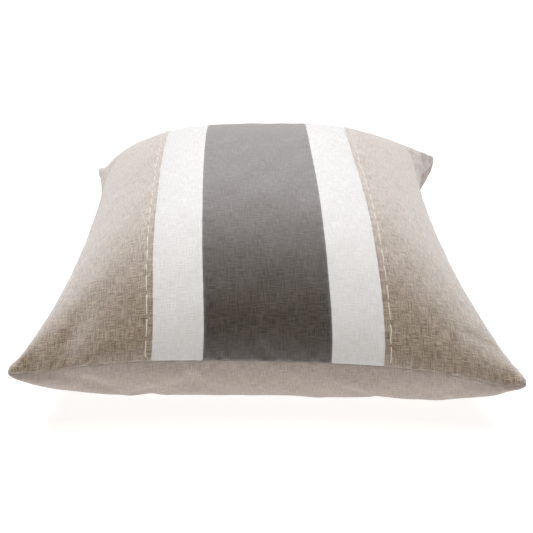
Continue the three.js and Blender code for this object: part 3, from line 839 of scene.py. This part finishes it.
def seam_lift(s, t, seed):
    """Outward shift near the cover's edges: puckers that vanish at the seam itself and fade over
    PUCKER_REACH, a rounded fold in the last millimetre, plump tips, and slow rolls over the whole face."""
    lift = np.zeros(np.broadcast(s, t).shape)
    edges = ((CLOTH_HALF - t, s), (CLOTH_HALF + t, s), (CLOTH_HALF - s, t), (CLOTH_HALF + s, t))
    for number, (from_edge, run) in enumerate(edges):
        near = np.exp(-from_edge / PUCKER_REACH) * (1 - bell(from_edge, PUCKER_START))
        strength = ZIP_PUCKER_SHARE if number == 0 else 1.0
        ripple = wobble(run, PUCKER_LONGEST, PUCKER_SHORTEST, seed + number)
        lift += strength * PUCKER_DEPTH * near * ripple - FOLD_ROUNDING * bell(from_edge, FOLD_ROUND_REACH)
    to_sides, to_ends = CLOTH_HALF - np.abs(s), CLOTH_HALF - np.abs(t)
    to_edge = np.minimum(to_sides, to_ends)
    plump = bell(np.hypot(to_sides, to_ends) - TIP_PLUMP_PLACE, TIP_PLUMP_REACH)
    lift += TIP_PLUMPNESS * plump * (1 - bell(to_edge, TIP_ROUNDING))
    rolls = rolling(s, t, ROLL_LONGEST, ROLL_SHORTEST, seed + 7) * ROLL_DEPTH
    return lift + rolls * np.minimum(1, to_edge / ROLL_FADE)


def with_turn_in(parts, edge, inward, facing, depths):
    """Adds rows past one edge of a grid of points, normals and cloth places, turned inward by the depths,
    with an outer side that faces as given. edge is 0 for the first row and -1 for the last."""
    points, normals, cloth = parts[0], parts[1].copy(), parts[2]
    step = unit(cloth[edge] - cloth[1 if edge == 0 else -2])
    normals[edge] = unit(normals[edge] + facing)
    added = [[points[edge] + inward * depth for depth in depths], [facing] * len(depths),
             [cloth[edge] + step * depth for depth in depths]]
    if edge == 0:
        return [np.concatenate([new[::-1], old]) for old, new in zip((points, normals, cloth), added)]
    return [np.concatenate([old, new]) for old, new in zip((points, normals, cloth), added)]


def linen_panel(name, face, across, along, lift, left, right):
    """A closed shell of cloth between the first and last places across and along, raised by lift along its
    normals. The front and rear edges are turned in as seams. left and right say how the side edges end:
    "seam" at the cover's edge, "pressed" down into a seam between bands, or "flat" where another laps it."""
    normals = cloth_normals(face, across, along)
    s, t = np.meshgrid(across, along)
    points = cloth_points(face, across, along) + normals * lift(s, t)[..., None]
    turns = []
    for edge, place in ((0, -CLOTH_HALF), (-1, CLOTH_HALF)):
        inward, away = (part[0] for part in rim_directions(face, across, [place]))
        gap = lip_gap(across, place)[None, :] * bell(np.abs(along - place), LIP_REACH)[:, None]
        points = points + away * gap[..., None]
        turns.append((edge, inward, -away))
    side_turns = []
    for edge, kind, place in ((0, left, across[0]), (-1, right, across[-1])):
        if kind == "seam":
            inward, away = (part[:, 0] for part in rim_directions(face, [place], along))
            gap = SEWN_LIP * bell(np.abs(across - place), LIP_REACH)
            points = points + away[:, None] * gap[None, :, None]
            side_turns.append((edge, inward, -away, SEAM_TURN_INS))
        elif kind == "pressed":
            outward = unit(points[:, edge] - points[:, 1 if edge == 0 else -2])
            points[:, edge] -= outward * PRESSED_TRIM
            side_turns.append((edge, -normals[:, edge], outward, SEAM_TURN_INS[:3]))
    parts = [points, normals, np.stack([s, t], -1)]
    for edge, inward, facing in turns:
        parts = with_turn_in(parts, edge, inward, facing, SEAM_TURN_INS)
    margin = ((len(SEAM_TURN_INS),) * 2, (0, 0))
    for edge, inward, facing, depths in side_turns:
        inward, facing = (np.pad(part, margin, mode="edge") for part in (inward, facing))
        turned = with_turn_in([part.transpose(1, 0, 2) for part in parts], edge, inward, facing, depths)
        parts = [part.transpose(1, 0, 2) for part in turned]
    outer, normals, cloth = parts
    inner = outer - normals * LINEN_THICKNESS
    if face < 0:
        outer[..., 2] = np.maximum(outer[..., 2], 0)
        inner[..., 2] = np.maximum(inner[..., 2], TABLE_CLEARANCE)
    return shell(name, outer, inner, cloth, face)


LINEN_THREAD = 0.95 * MM
WARP_STREAK, WEFT_STREAK = (0.75 * MM, 11 * MM), (10 * MM, 0.75 * MM)
WARP_SLUB, WEFT_SLUB = (1.4 * MM, 26 * MM), (18 * MM, 1.3 * MM)
CLOUD = (34 * MM, 50 * MM)
SLUB_FROM, SLUB_TO = 0.60, 0.78
BASE_TONE, CLOUD_TONE, WEAVE_TONE = 0.45, 0.2, 0.3
WEAVE_HEIGHT, SLUB_HEIGHT = 0.35, 0.5
ROUGH_DARK, ROUGH_LIGHT = 0.86, 0.72


def slub_linen_group():
    """Colour, roughness and relief of linen: a plain weave of uneven threads, whose shade changes in long
    thin streaks both ways, with a few thick slubs."""
    inputs = {"Cloth": "Vector", "Slub": "Float", "Streak": "Float", "Relief": "Float"}
    tree, given = new_group("slub_linen", inputs, {"Tone": "Float", "Roughness": "Float"})
    cloth = given["Cloth"]
    warp, weft = streaks(tree, cloth, WARP_STREAK), streaks(tree, cloth, WEFT_STREAK, 2.0, 11.0)
    both = calculate(tree, "ADD", warp, weft)
    thick = [ramped(tree, streaks(tree, cloth, size, 1.0, shift), SLUB_FROM, SLUB_TO)
             for size, shift in ((WARP_SLUB, 23.0), (WEFT_SLUB, 37.0))]
    slub = calculate(tree, "MAXIMUM", *thick)
    clouds = streaks(tree, cloth, CLOUD, 2.0, 51.0)
    weave = plain_weave(tree, cloth, LINEN_THREAD, 5.0)
    fine = calculate(tree, "MULTIPLY", calculate(tree, "SUBTRACT", both, 1.0), given["Streak"])
    tone = calculate(tree, "MULTIPLY_ADD", slub, given["Slub"], calculate(tree, "ADD", fine, BASE_TONE))
    for part, share in ((clouds, CLOUD_TONE), (weave, WEAVE_TONE)):
        tone = calculate(tree, "MULTIPLY_ADD", calculate(tree, "SUBTRACT", part, 0.5), share, tone)
    tone = add_node(tree, "ShaderNodeClamp", {"Value": tone}).outputs[0]
    height = calculate(tree, "MULTIPLY_ADD", weave, WEAVE_HEIGHT, both)
    height = calculate(tree, "MULTIPLY_ADD", slub, SLUB_HEIGHT, height)
    return put_out(tree, Color=blended(tree, tone, given["Dark"], given["Light"]), Tone=tone,
                   Roughness=ramped(tree, tone, 0.0, 1.0, ROUGH_DARK, ROUGH_LIGHT),
                   Normal=relief(tree, height, 0.8, given["Relief"]))


slub_linen = slub_linen_group()
LINEN_SHEEN = {"Sheen_Weight": 0.55, "Sheen_Roughness": 0.45, "Specular_IOR_Level": 0.45}

# The pale grazing colour here is painted sheen: the cloth is painted lighter where it turns from the eye.
oatmeal_linen = fabric(
    "oatmeal_linen", slub_linen,
    {"Dark": (0.30, 0.238, 0.203, 1), "Light": (0.52, 0.435, 0.382, 1), "Slub": 0.25, "Streak": 1.6,
     "Relief": 0.3 * MM},
    painted_sheen_and_shade=((0.70, 0.62, 0.57), 0.3), Sheen_Tint=(0.95, 0.88, 0.84, 1), **LINEN_SHEEN,
)
back_lines = cloth_lines(-CLOTH_HALF, CLOTH_HALF, BACK_SPACING)
back_panel = linen_panel("oatmeal_back_panel", -1, back_lines, back_lines,
                         lambda s, t: seam_lift(s, t, BACK_SEED), "seam", "seam")
finish_piece(back_panel, oatmeal_linen, "pillow", "back_panel")


# ---- Front bands ------------------------------------------------------------------------------------
# Three bands and two panels of linen: a charcoal centre between two white bands, sewn right sides together
# and pressed open, and natural flax panels whose folded edges lap the white and are stitched down by hand.

CENTRE_EDGE = 63.5 * MM
LAP_EDGE = 114.3 * MM
LAP = 3.2 * MM
LAP_RISE = 0.65 * MM
LAP_FADE = 7.5 * MM
LAP_SINK, LAP_SINK_REACH = 0.3 * MM, 0.8 * MM
TUCK_DEPTH, TUCK_RUN = 0.35 * MM, 1.5 * MM
PRESS_DEPTH, PRESS_REACH = 0.45 * MM, 1.1 * MM
RIDGE_HEIGHT, RIDGE_PLACE, RIDGE_REACH = 0.25 * MM, 3.5 * MM, 3 * MM
BAND_RIPPLE, RIPPLE_REACH = 0.11 * MM, 7 * MM
RIPPLE_LONGEST, RIPPLE_SHORTEST = 30 * MM, 8 * MM
BAND_SPACING = 1.9 * MM
BAND_SEED = 20
THREAD_LINE = 120.3 * MM
THREAD_LIMIT = 249 * MM
DIMPLE_DEPTH, DIMPLE_REACH = 0.42 * MM, 2.4 * MM

# The first stitches of each row, front to rear, and the usual gap between two, in millimetres.
STITCHES = {
    "left": [16, 16, 19, 15.5, 8.5, 11, 12.5, 11.5, 10, 9.5],
    "right": [15, 17.5, 16.5, 14, 15.5, 14, 15, 13, 10, 12.5],
}
STITCH_GAPS = {"left": 4.2, "right": 3.6}
STITCH_SEEDS = {"left": 5, "right": 6}
GAP_LESS, GAP_MORE = 0.7, 0.9
MORE_STITCHES, SHORT_STITCH, LONG_STITCH = 40, 10, 14


def stitch_places(side):
    """Start and end of each hand stitch along the bands, in metres: the first ones as sewn, the rest with a
    seeded length from SHORT_STITCH to LONG_STITCH."""
    rng = np.random.default_rng(STITCH_SEEDS[side])
    lengths = np.concatenate([STITCHES[side], rng.uniform(SHORT_STITCH, LONG_STITCH, MORE_STITCHES)])
    gaps = STITCH_GAPS[side] + rng.uniform(-GAP_LESS, GAP_MORE, len(lengths))
    starts = np.concatenate([[0], np.cumsum(lengths[:-1] + gaps[:-1])])
    places = np.stack([starts, starts + lengths], 1) * MM - THREAD_LIMIT
    return places[places[:, 1] < THREAD_LIMIT]


def stitch_dimples(s, t):
    """Depth of the dimples that the thread pulls at each end of each stitch, r away: DIMPLE_DEPTH
    exp(-(r / DIMPLE_REACH)^2)."""
    ends = stitch_places("left" if s.mean() < 0 else "right").ravel()
    along = sum(bell(t - end, DIMPLE_REACH) for end in ends)
    return DIMPLE_DEPTH * bell(np.abs(s) - THREAD_LINE, DIMPLE_REACH) * along


def band_lift(kind, s, t):
    """Outward shift of a band: the cover's own, a groove between two ridges at each pressed seam, faint
    puckers beside every seam, the fold that raises the natural cloth over the white, the white cloth's dip
    under it, and the dimples of the stitches."""
    lift = seam_lift(s, t, BAND_SEED)
    for edge in (-LAP_EDGE, -CENTRE_EDGE, CENTRE_EDGE, LAP_EDGE):
        from_edge = np.abs(s - edge)
        ripple = wobble(t, RIPPLE_LONGEST, RIPPLE_SHORTEST, round(edge * 1000) + 300)
        lift += BAND_RIPPLE * ripple * bell(from_edge, RIPPLE_REACH)
        if abs(edge) == CENTRE_EDGE:
            lift -= PRESS_DEPTH * bell(from_edge, PRESS_REACH)
            lift += RIDGE_HEIGHT * bell(from_edge - RIDGE_PLACE, RIDGE_REACH)
    past_lap = np.abs(s) - LAP_EDGE
    if kind == "natural":
        lift += LAP_RISE * bell(past_lap, LAP_FADE) - LAP_SINK * bell(past_lap, LAP_SINK_REACH)
        lift -= stitch_dimples(s, t)
    elif kind == "white":
        lift -= TUCK_DEPTH * np.clip(past_lap / TUCK_RUN + 1, 0, 1)
    return lift


# The pale grazing colour here is painted sheen: the flax is painted much lighter where it turns from the eye.
natural_linen = fabric(
    "natural_linen", slub_linen,
    {"Dark": (0.165, 0.106, 0.056, 1), "Light": (0.46, 0.355, 0.25, 1), "Slub": 0.4, "Streak": 2.4,
     "Relief": 0.6 * MM},
    painted_sheen_and_shade=((0.88, 0.81, 0.775), 0.81), Sheen_Tint=(0.97, 0.93, 0.90, 1), **LINEN_SHEEN,
)
# The grazing colour here is darker than the cloth: painted shade where the white cloth turns from the eye.
white_linen = fabric(
    "white_linen", slub_linen,
    {"Dark": (0.77, 0.735, 0.70, 1), "Light": (0.91, 0.885, 0.86, 1), "Slub": 0.25, "Streak": 1.6,
     "Relief": 0.25 * MM},
    painted_sheen_and_shade=((0.655, 0.65, 0.66), 0.62), Sheen_Weight=0.1, Sheen_Roughness=0.5, Specular_IOR_Level=0.35,
)
# The pale grazing colour here is painted sheen: the dark cloth is painted much lighter where it turns from
# the eye.
charcoal_linen = fabric(
    "charcoal_linen", slub_linen,
    {"Dark": (0.030, 0.020, 0.012, 1), "Light": (0.104, 0.080, 0.062, 1), "Slub": 0.35, "Streak": 1.5,
     "Relief": 0.35 * MM},
    painted_sheen_and_shade=((0.61, 0.58, 0.58), 0.62), Sheen_Tint=(0.95, 0.92, 0.92, 1), **LINEN_SHEEN,
)

along_bands = cloth_lines(-CLOTH_HALF, CLOTH_HALF, BAND_SPACING)
BANDS = [
    # node, kind, cloth, from, to, its left and right edges, flat width
    ("front_left_natural_panel", "natural", natural_linen, -CLOTH_HALF, -LAP_EDGE, "seam", "pressed", 139.7),
    ("front_left_white_band", "white", white_linen, -LAP_EDGE - LAP, -CENTRE_EDGE, "flat", "pressed", 50.8),
    ("front_centre_band", "charcoal", charcoal_linen, -CENTRE_EDGE, CENTRE_EDGE, "pressed", "pressed", 127.0),
    ("front_right_white_band", "white", white_linen, CENTRE_EDGE, LAP_EDGE + LAP, "pressed", "flat", 50.8),
    ("front_right_natural_panel", "natural", natural_linen, LAP_EDGE, CLOTH_HALF, "pressed", "seam", 139.7),
]
for node, kind, linen, start, end, left, right, width in BANDS:
    across_band = cloth_lines(start, end, BAND_SPACING, left != "flat", right != "flat")
    band = linen_panel(f"{node}_cloth", 1, across_band, along_bands,
                       lambda s, t, kind=kind: band_lift(kind, s, t), left, right)
    finish_piece(band, linen, "pillow", node)


# ---- Running stitches -------------------------------------------------------------------------------
# One row of hand stitches in thick off-white thread holds down each lapped edge. It is one twisted
# two-ply thread a row, which lies on the cloth for each stitch and runs under it to the next.

THREAD_RADIUS = 0.54 * MM
THREAD_OVER, THREAD_UNDER = 0.24 * MM, -1.45 * MM
THREAD_DIVE = 0.32 * MM
THREAD_TWIST = 3.4 * MM
THREAD_STEP = 0.4 * MM
THREAD_SIDES = 10
PLY_SHARE = 0.16
THREAD_SWAY, SWAY_LONGEST, SWAY_SHORTEST = 0.2 * MM, 60 * MM, 12 * MM
THREAD_TAIL = 3 * MM
SWAY_SEED = 70
FIBRE_SIZE, STAIN_SIZE = (0.16 * MM, 4 * MM), (3 * MM, 9 * MM)


def swept_tube(name, path, aside, radius, sides, twist_length=math.inf, ply=0.0):
    """A closed tube: circles of the radius round each point of a path, square to it, with two plies where the
    radius is r (1 + ply cos 2(angle - 2 pi length / twist_length)). The ends close to points."""
    tangent = unit(np.gradient(path, axis=0))
    first = unit(aside - (aside * tangent).sum(-1, keepdims=True) * tangent)
    second = np.cross(tangent, first)
    angle = np.arange(sides) * 2 * math.pi / sides
    length = np.concatenate([[0], np.cumsum(np.linalg.norm(np.diff(path, axis=0), axis=-1))])[:, None]
    r = radius * (1 + ply * np.cos(2 * (angle[None] - 2 * math.pi * length / twist_length)))
    r[[0, -1]] = radius * 1e-3
    ring = path[:, None] + r[..., None] * (first[:, None] * np.cos(angle)[None, :, None]
                                           + second[:, None] * np.sin(angle)[None, :, None])
    index = np.arange(len(path) * sides).reshape(len(path), sides)
    ahead = np.roll(index, -1, 1)
    walls = np.stack([index[:-1], ahead[:-1], ahead[1:], index[1:]], -1).reshape(-1, 4)
    fan = np.array([[0, k, k + 1, k + 2] for k in range(1, sides - 2, 2)])
    faces = np.concatenate([walls, index[0, -fan], index[-1, fan]])
    place = np.stack(np.broadcast_arrays(angle[None] * radius, length), -1)
    return mesh_object(name, ring.reshape(-1, 3), faces, place.reshape(-1, 2))


def twisted_thread_group():
    """Colour and relief of twisted thread: fibres that wind round it, as noise drawn out along a slant."""
    tree, given = new_group("twisted_fibres", {"Cloth": "Vector"}, {})
    parts = add_node(tree, "ShaderNodeSeparateXYZ", {0: given["Cloth"]}).outputs
    slant = calculate(tree, "MULTIPLY_ADD", parts[1], 0.6, parts[0])
    wound = add_node(tree, "ShaderNodeCombineXYZ", {0: slant, 1: parts[1]}).outputs[0]
    fibre = streaks(tree, wound, FIBRE_SIZE)
    stain = calculate(tree, "MULTIPLY", streaks(tree, wound, STAIN_SIZE, 2.0, 9.0), 0.5)
    tone = calculate(tree, "MULTIPLY_ADD", fibre, 0.6, stain)
    return put_out(tree, Color=blended(tree, tone, given["Dark"], given["Light"]),
                   Normal=relief(tree, fibre, 0.6, 0.15 * MM))


stitch_thread = fabric("stitch_thread", twisted_thread_group(),
                       {"Dark": (0.62, 0.56, 0.46, 1), "Light": (0.92, 0.89, 0.81, 1)},
                       Roughness=0.75, Sheen_Weight=0.3)
for side, sign in (("left", -1), ("right", 1)):
    stitches = stitch_places(side)
    run = np.arange(stitches[0, 0] - THREAD_TAIL, stitches[-1, 1] + THREAD_TAIL, THREAD_STEP)
    over = sum(np.tanh((run - start) / 2 / THREAD_DIVE) - np.tanh((run - end) / 2 / THREAD_DIVE)
               for start, end in stitches) / 2
    sway = THREAD_SWAY * wobble(run, SWAY_LONGEST, SWAY_SHORTEST, SWAY_SEED + sign)
    line = cloth_points(1, [sign * THREAD_LINE], run)[:, 0]
    normal = cloth_normals(1, [sign * THREAD_LINE], run)[:, 0]
    rise = band_lift("natural", np.full((1, len(run)), sign * THREAD_LINE), run[None])[0]
    aside = unit(np.cross(np.gradient(line, axis=0), normal))
    height = rise + THREAD_UNDER + (THREAD_OVER - THREAD_UNDER) * over
    path = line + normal * height[:, None] + aside * sway[:, None]
    thread = swept_tube(f"{side}_running_stitch_thread", path, normal, THREAD_RADIUS, THREAD_SIDES,
                        THREAD_TWIST, PLY_SHARE)
    finish_piece(thread, stitch_thread, "pillow", f"{side}_running_stitch")


# ---- Zipper tapes and coils -------------------------------------------------------------------------
# Woven polyester tapes, sewn inside the rear seam, each with a coil of nylon monofilament along its edge.
# The two coils mesh behind the cloth's lips.

TAPE_CELL, TAPE_ROWS = 1.5 * MM, 25
TAPE_RIBS, RIB_HEIGHT = 9, 0.05 * MM
TAPE_TRIM = 0.06 * MM
TAPE_EDGE, EDGE_SHARE = 0.6 * MM, 0.35
COIL_PITCH = 1.5 * MM
WIRE_RADIUS, WIRE_SIDES = 0.27 * MM, 6
COIL_POINTS = 10
GRAIN_SCALE, CLOUD_SCALE, SCRATCH_SCALE = 6000.0, 420.0, (900.0, 7000.0, 7000.0)

tape_cloth = fabric("woven_zipper_tape", close_weave,
                    {"Dark": (0.36, 0.30, 0.23, 1), "Light": (0.56, 0.49, 0.41, 1),
                     "Relief": 0.12 * MM},
                    Roughness=0.8, Sheen_Weight=0.2)


def handled_finish_group():
    """Colour, roughness and relief of a small moulded or cast piece: fine grain, faint cloudy wear and short
    scratches, all from Object coordinates."""
    tree, given = new_group("handled_finish", {"Smooth": "Float", "Worn": "Float"}, {"Roughness": "Float"})
    place = add_node(tree, "ShaderNodeTexCoord").outputs["Object"]
    drawn = add_node(tree, "ShaderNodeVectorMath", {0: place, 1: SCRATCH_SCALE},
                     operation="MULTIPLY").outputs[0]
    grain, cloud, scratch = (
        add_node(tree, "ShaderNodeTexNoise", {"Vector": at, "Scale": scale, "Detail": detail}).outputs[0]
        for at, scale, detail in ((place, GRAIN_SCALE, 3.0), (place, CLOUD_SCALE, 3.0), (drawn, 1.0, 1.0))
    )
    tone = calculate(tree, "MULTIPLY_ADD", grain, 0.3, calculate(tree, "MULTIPLY", cloud, 0.7))
    wear = calculate(tree, "MULTIPLY_ADD", ramped(tree, scratch, 0.62, 0.75), 0.5, cloud)
    return put_out(tree, Color=blended(tree, tone, given["Dark"], given["Light"]),
                   Roughness=ramped(tree, wear, 0.35, 1.1, given["Smooth"], given["Worn"]),
                   Normal=relief(tree, wear, 0.25, 0.05 * MM))


handled_finish = handled_finish_group()
coil_nylon = patterned("coil_nylon", handled_finish, {
    "Dark": (0.36, 0.30, 0.23, 1), "Light": (0.55, 0.47, 0.38, 1), "Smooth": 0.32, "Worn": 0.5,
}, Specular_IOR_Level=0.5)[0]
for side, phase in (("upper", 0.0), ("lower", math.pi)):
    low, high = (np.array(corner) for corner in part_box(f"zipper_{side}_tape"))
    x = np.linspace(low[0], high[0], round((high[0] - low[0]) / TAPE_CELL) + 1)
    y = low[1] + (high[1] - low[1]) * (1 - np.cos(np.linspace(0, math.pi, TAPE_ROWS))) / 2
    flat_x, flat_y = np.meshgrid(x, y)
    from_side = np.minimum(flat_y - low[1], high[1] - flat_y)
    rib = RIB_HEIGHT * np.cos((flat_y - low[1]) / (high[1] - low[1]) * TAPE_RIBS * 2 * math.pi)
    rounding = np.sqrt(np.clip(1 - (1 - np.minimum(from_side / TAPE_EDGE, 1)) ** 2, 0, 1))
    half_depth = (high[2] - low[2]) / 2 - TAPE_TRIM + rib
    half_depth *= EDGE_SHARE + (1 - EDGE_SHARE) * rounding
    middle = (low[2] + high[2]) / 2
    top, bottom = (np.stack([flat_x, flat_y, middle + face * half_depth], -1) for face in (1, -1))
    tape = shell(f"zipper_{side}_woven_tape", top, bottom, np.stack([flat_x, flat_y], -1), 1)
    finish_piece(tape, tape_cloth, "pillow", f"zipper_{side}_tape")

    low, high = (np.array(corner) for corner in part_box(f"zipper_{side}_coil"))
    turns = round((high[0] - low[0]) / COIL_PITCH)
    angle = np.linspace(0, turns * 2 * math.pi, turns * COIL_POINTS + 1) + phase
    reach = (high[1] - low[1]) / 2 - WIRE_RADIUS
    centre = (low + high) / 2
    along = np.linspace(low[0] + WIRE_RADIUS, high[0] - WIRE_RADIUS, len(angle))
    helix = np.stack([along, centre[1] + reach * np.cos(angle), centre[2] + reach * np.sin(angle)], -1)
    axis = np.tile([[1.0, 0.0, 0.0]], (len(angle), 1))
    coil = swept_tube(f"zipper_{side}_nylon_coil", helix, axis, WIRE_RADIUS, WIRE_SIDES)
    finish_piece(coil, coil_nylon, "pillow", f"zipper_{side}_coil")


# ---- Zipper stops, slider and pull ------------------------------------------------------------------
# Small zinc castings in a pale brass lacquer. The stops are clamped over the coils' ends, the slider runs
# along the coils, and its pull hangs from a loop and swings. Every edge is rounded by the mould.

CASTINGS = [
    # node, body, width of the rounded edges
    ("zipper_upper_top_stop", "pillow", 0.12 * MM),
    ("zipper_lower_top_stop", "pillow", 0.12 * MM),
    ("zipper_bottom_stop", "pillow", 0.15 * MM),
    ("zipper_slider", "slider", 0.14 * MM),
    ("zipper_pull_tab", "pull", 0.22 * MM),
]
SMOOTH_BELOW = math.radians(35)
FLAT_BELOW = math.radians(1)
MERGE_DISTANCE = 0.002 * MM
BEVEL_SEGMENTS = 3

lacquered_zinc = patterned("lacquered_zinc", handled_finish, {
    "Dark": (0.50, 0.43, 0.32, 1), "Light": (0.66, 0.58, 0.45, 1), "Smooth": 0.24, "Worn": 0.42,
}, Metallic=0.85, Coat_Weight=0.3)[0]
for node, body, bevel in CASTINGS:
    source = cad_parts[node]
    mesh = source.data.copy()
    mesh.transform(source.matrix_world)
    work = bmesh.new()
    work.from_mesh(mesh)
    bmesh.ops.remove_doubles(work, verts=work.verts, dist=MERGE_DISTANCE)
    bmesh.ops.dissolve_limit(work, angle_limit=FLAT_BELOW, verts=work.verts, edges=work.edges)
    work.to_mesh(mesh)
    work.free()
    mesh.shade_smooth()
    mesh.set_sharp_from_angle(angle=SMOOTH_BELOW)
    casting = bpy.data.objects.new(f"{node}_casting", mesh)
    scene.collection.objects.link(casting)
    rounded = casting.modifiers.new("rounded_edges", "BEVEL")
    rounded.width, rounded.segments = bevel, BEVEL_SEGMENTS
    rounded.limit_method, rounded.angle_limit = "ANGLE", SMOOTH_BELOW
    rounded.harden_normals = True
    finish_piece(casting, lacquered_zinc, body, node)


# ---- Care label -------------------------------------------------------------------------------------
# A blank satin ribbon, caught in the left seam and lying inside against the back panel. Satin shows
# long floats of fine thread across the ribbon.

LABEL_LENGTH, LABEL_DEPTH, LABEL_THICKNESS = 35 * MM, 14 * MM, 0.3 * MM
LABEL_BELOW = 1.5 * MM
LABEL_START = 1.2 * MM
LABEL_ROWS, LABEL_COLUMNS = 71, 29

satin = fabric("blank_satin", close_weave,
               {"Dark": (0.82, 0.80, 0.76, 1), "Light": (0.94, 0.93, 0.90, 1), "Relief": 0.05 * MM},
               Roughness=0.32, Sheen_Weight=0.3)
label_s = np.linspace(-CLOTH_HALF + LABEL_START, -CLOTH_HALF + LABEL_START + LABEL_DEPTH, LABEL_COLUMNS)
label_t = np.linspace(-LABEL_LENGTH / 2, LABEL_LENGTH / 2, LABEL_ROWS)
label_normal = cloth_normals(-1, label_s, label_t)
flat_s, flat_t = np.meshgrid(label_s, label_t)
label_top = cloth_points(-1, label_s, label_t) - label_normal * LABEL_BELOW
label = shell("blank_satin_label", label_top, label_top - label_normal * LABEL_THICKNESS,
              np.stack([flat_s, flat_t], -1), -1)
finish_piece(label, satin, "pillow", "care_label")
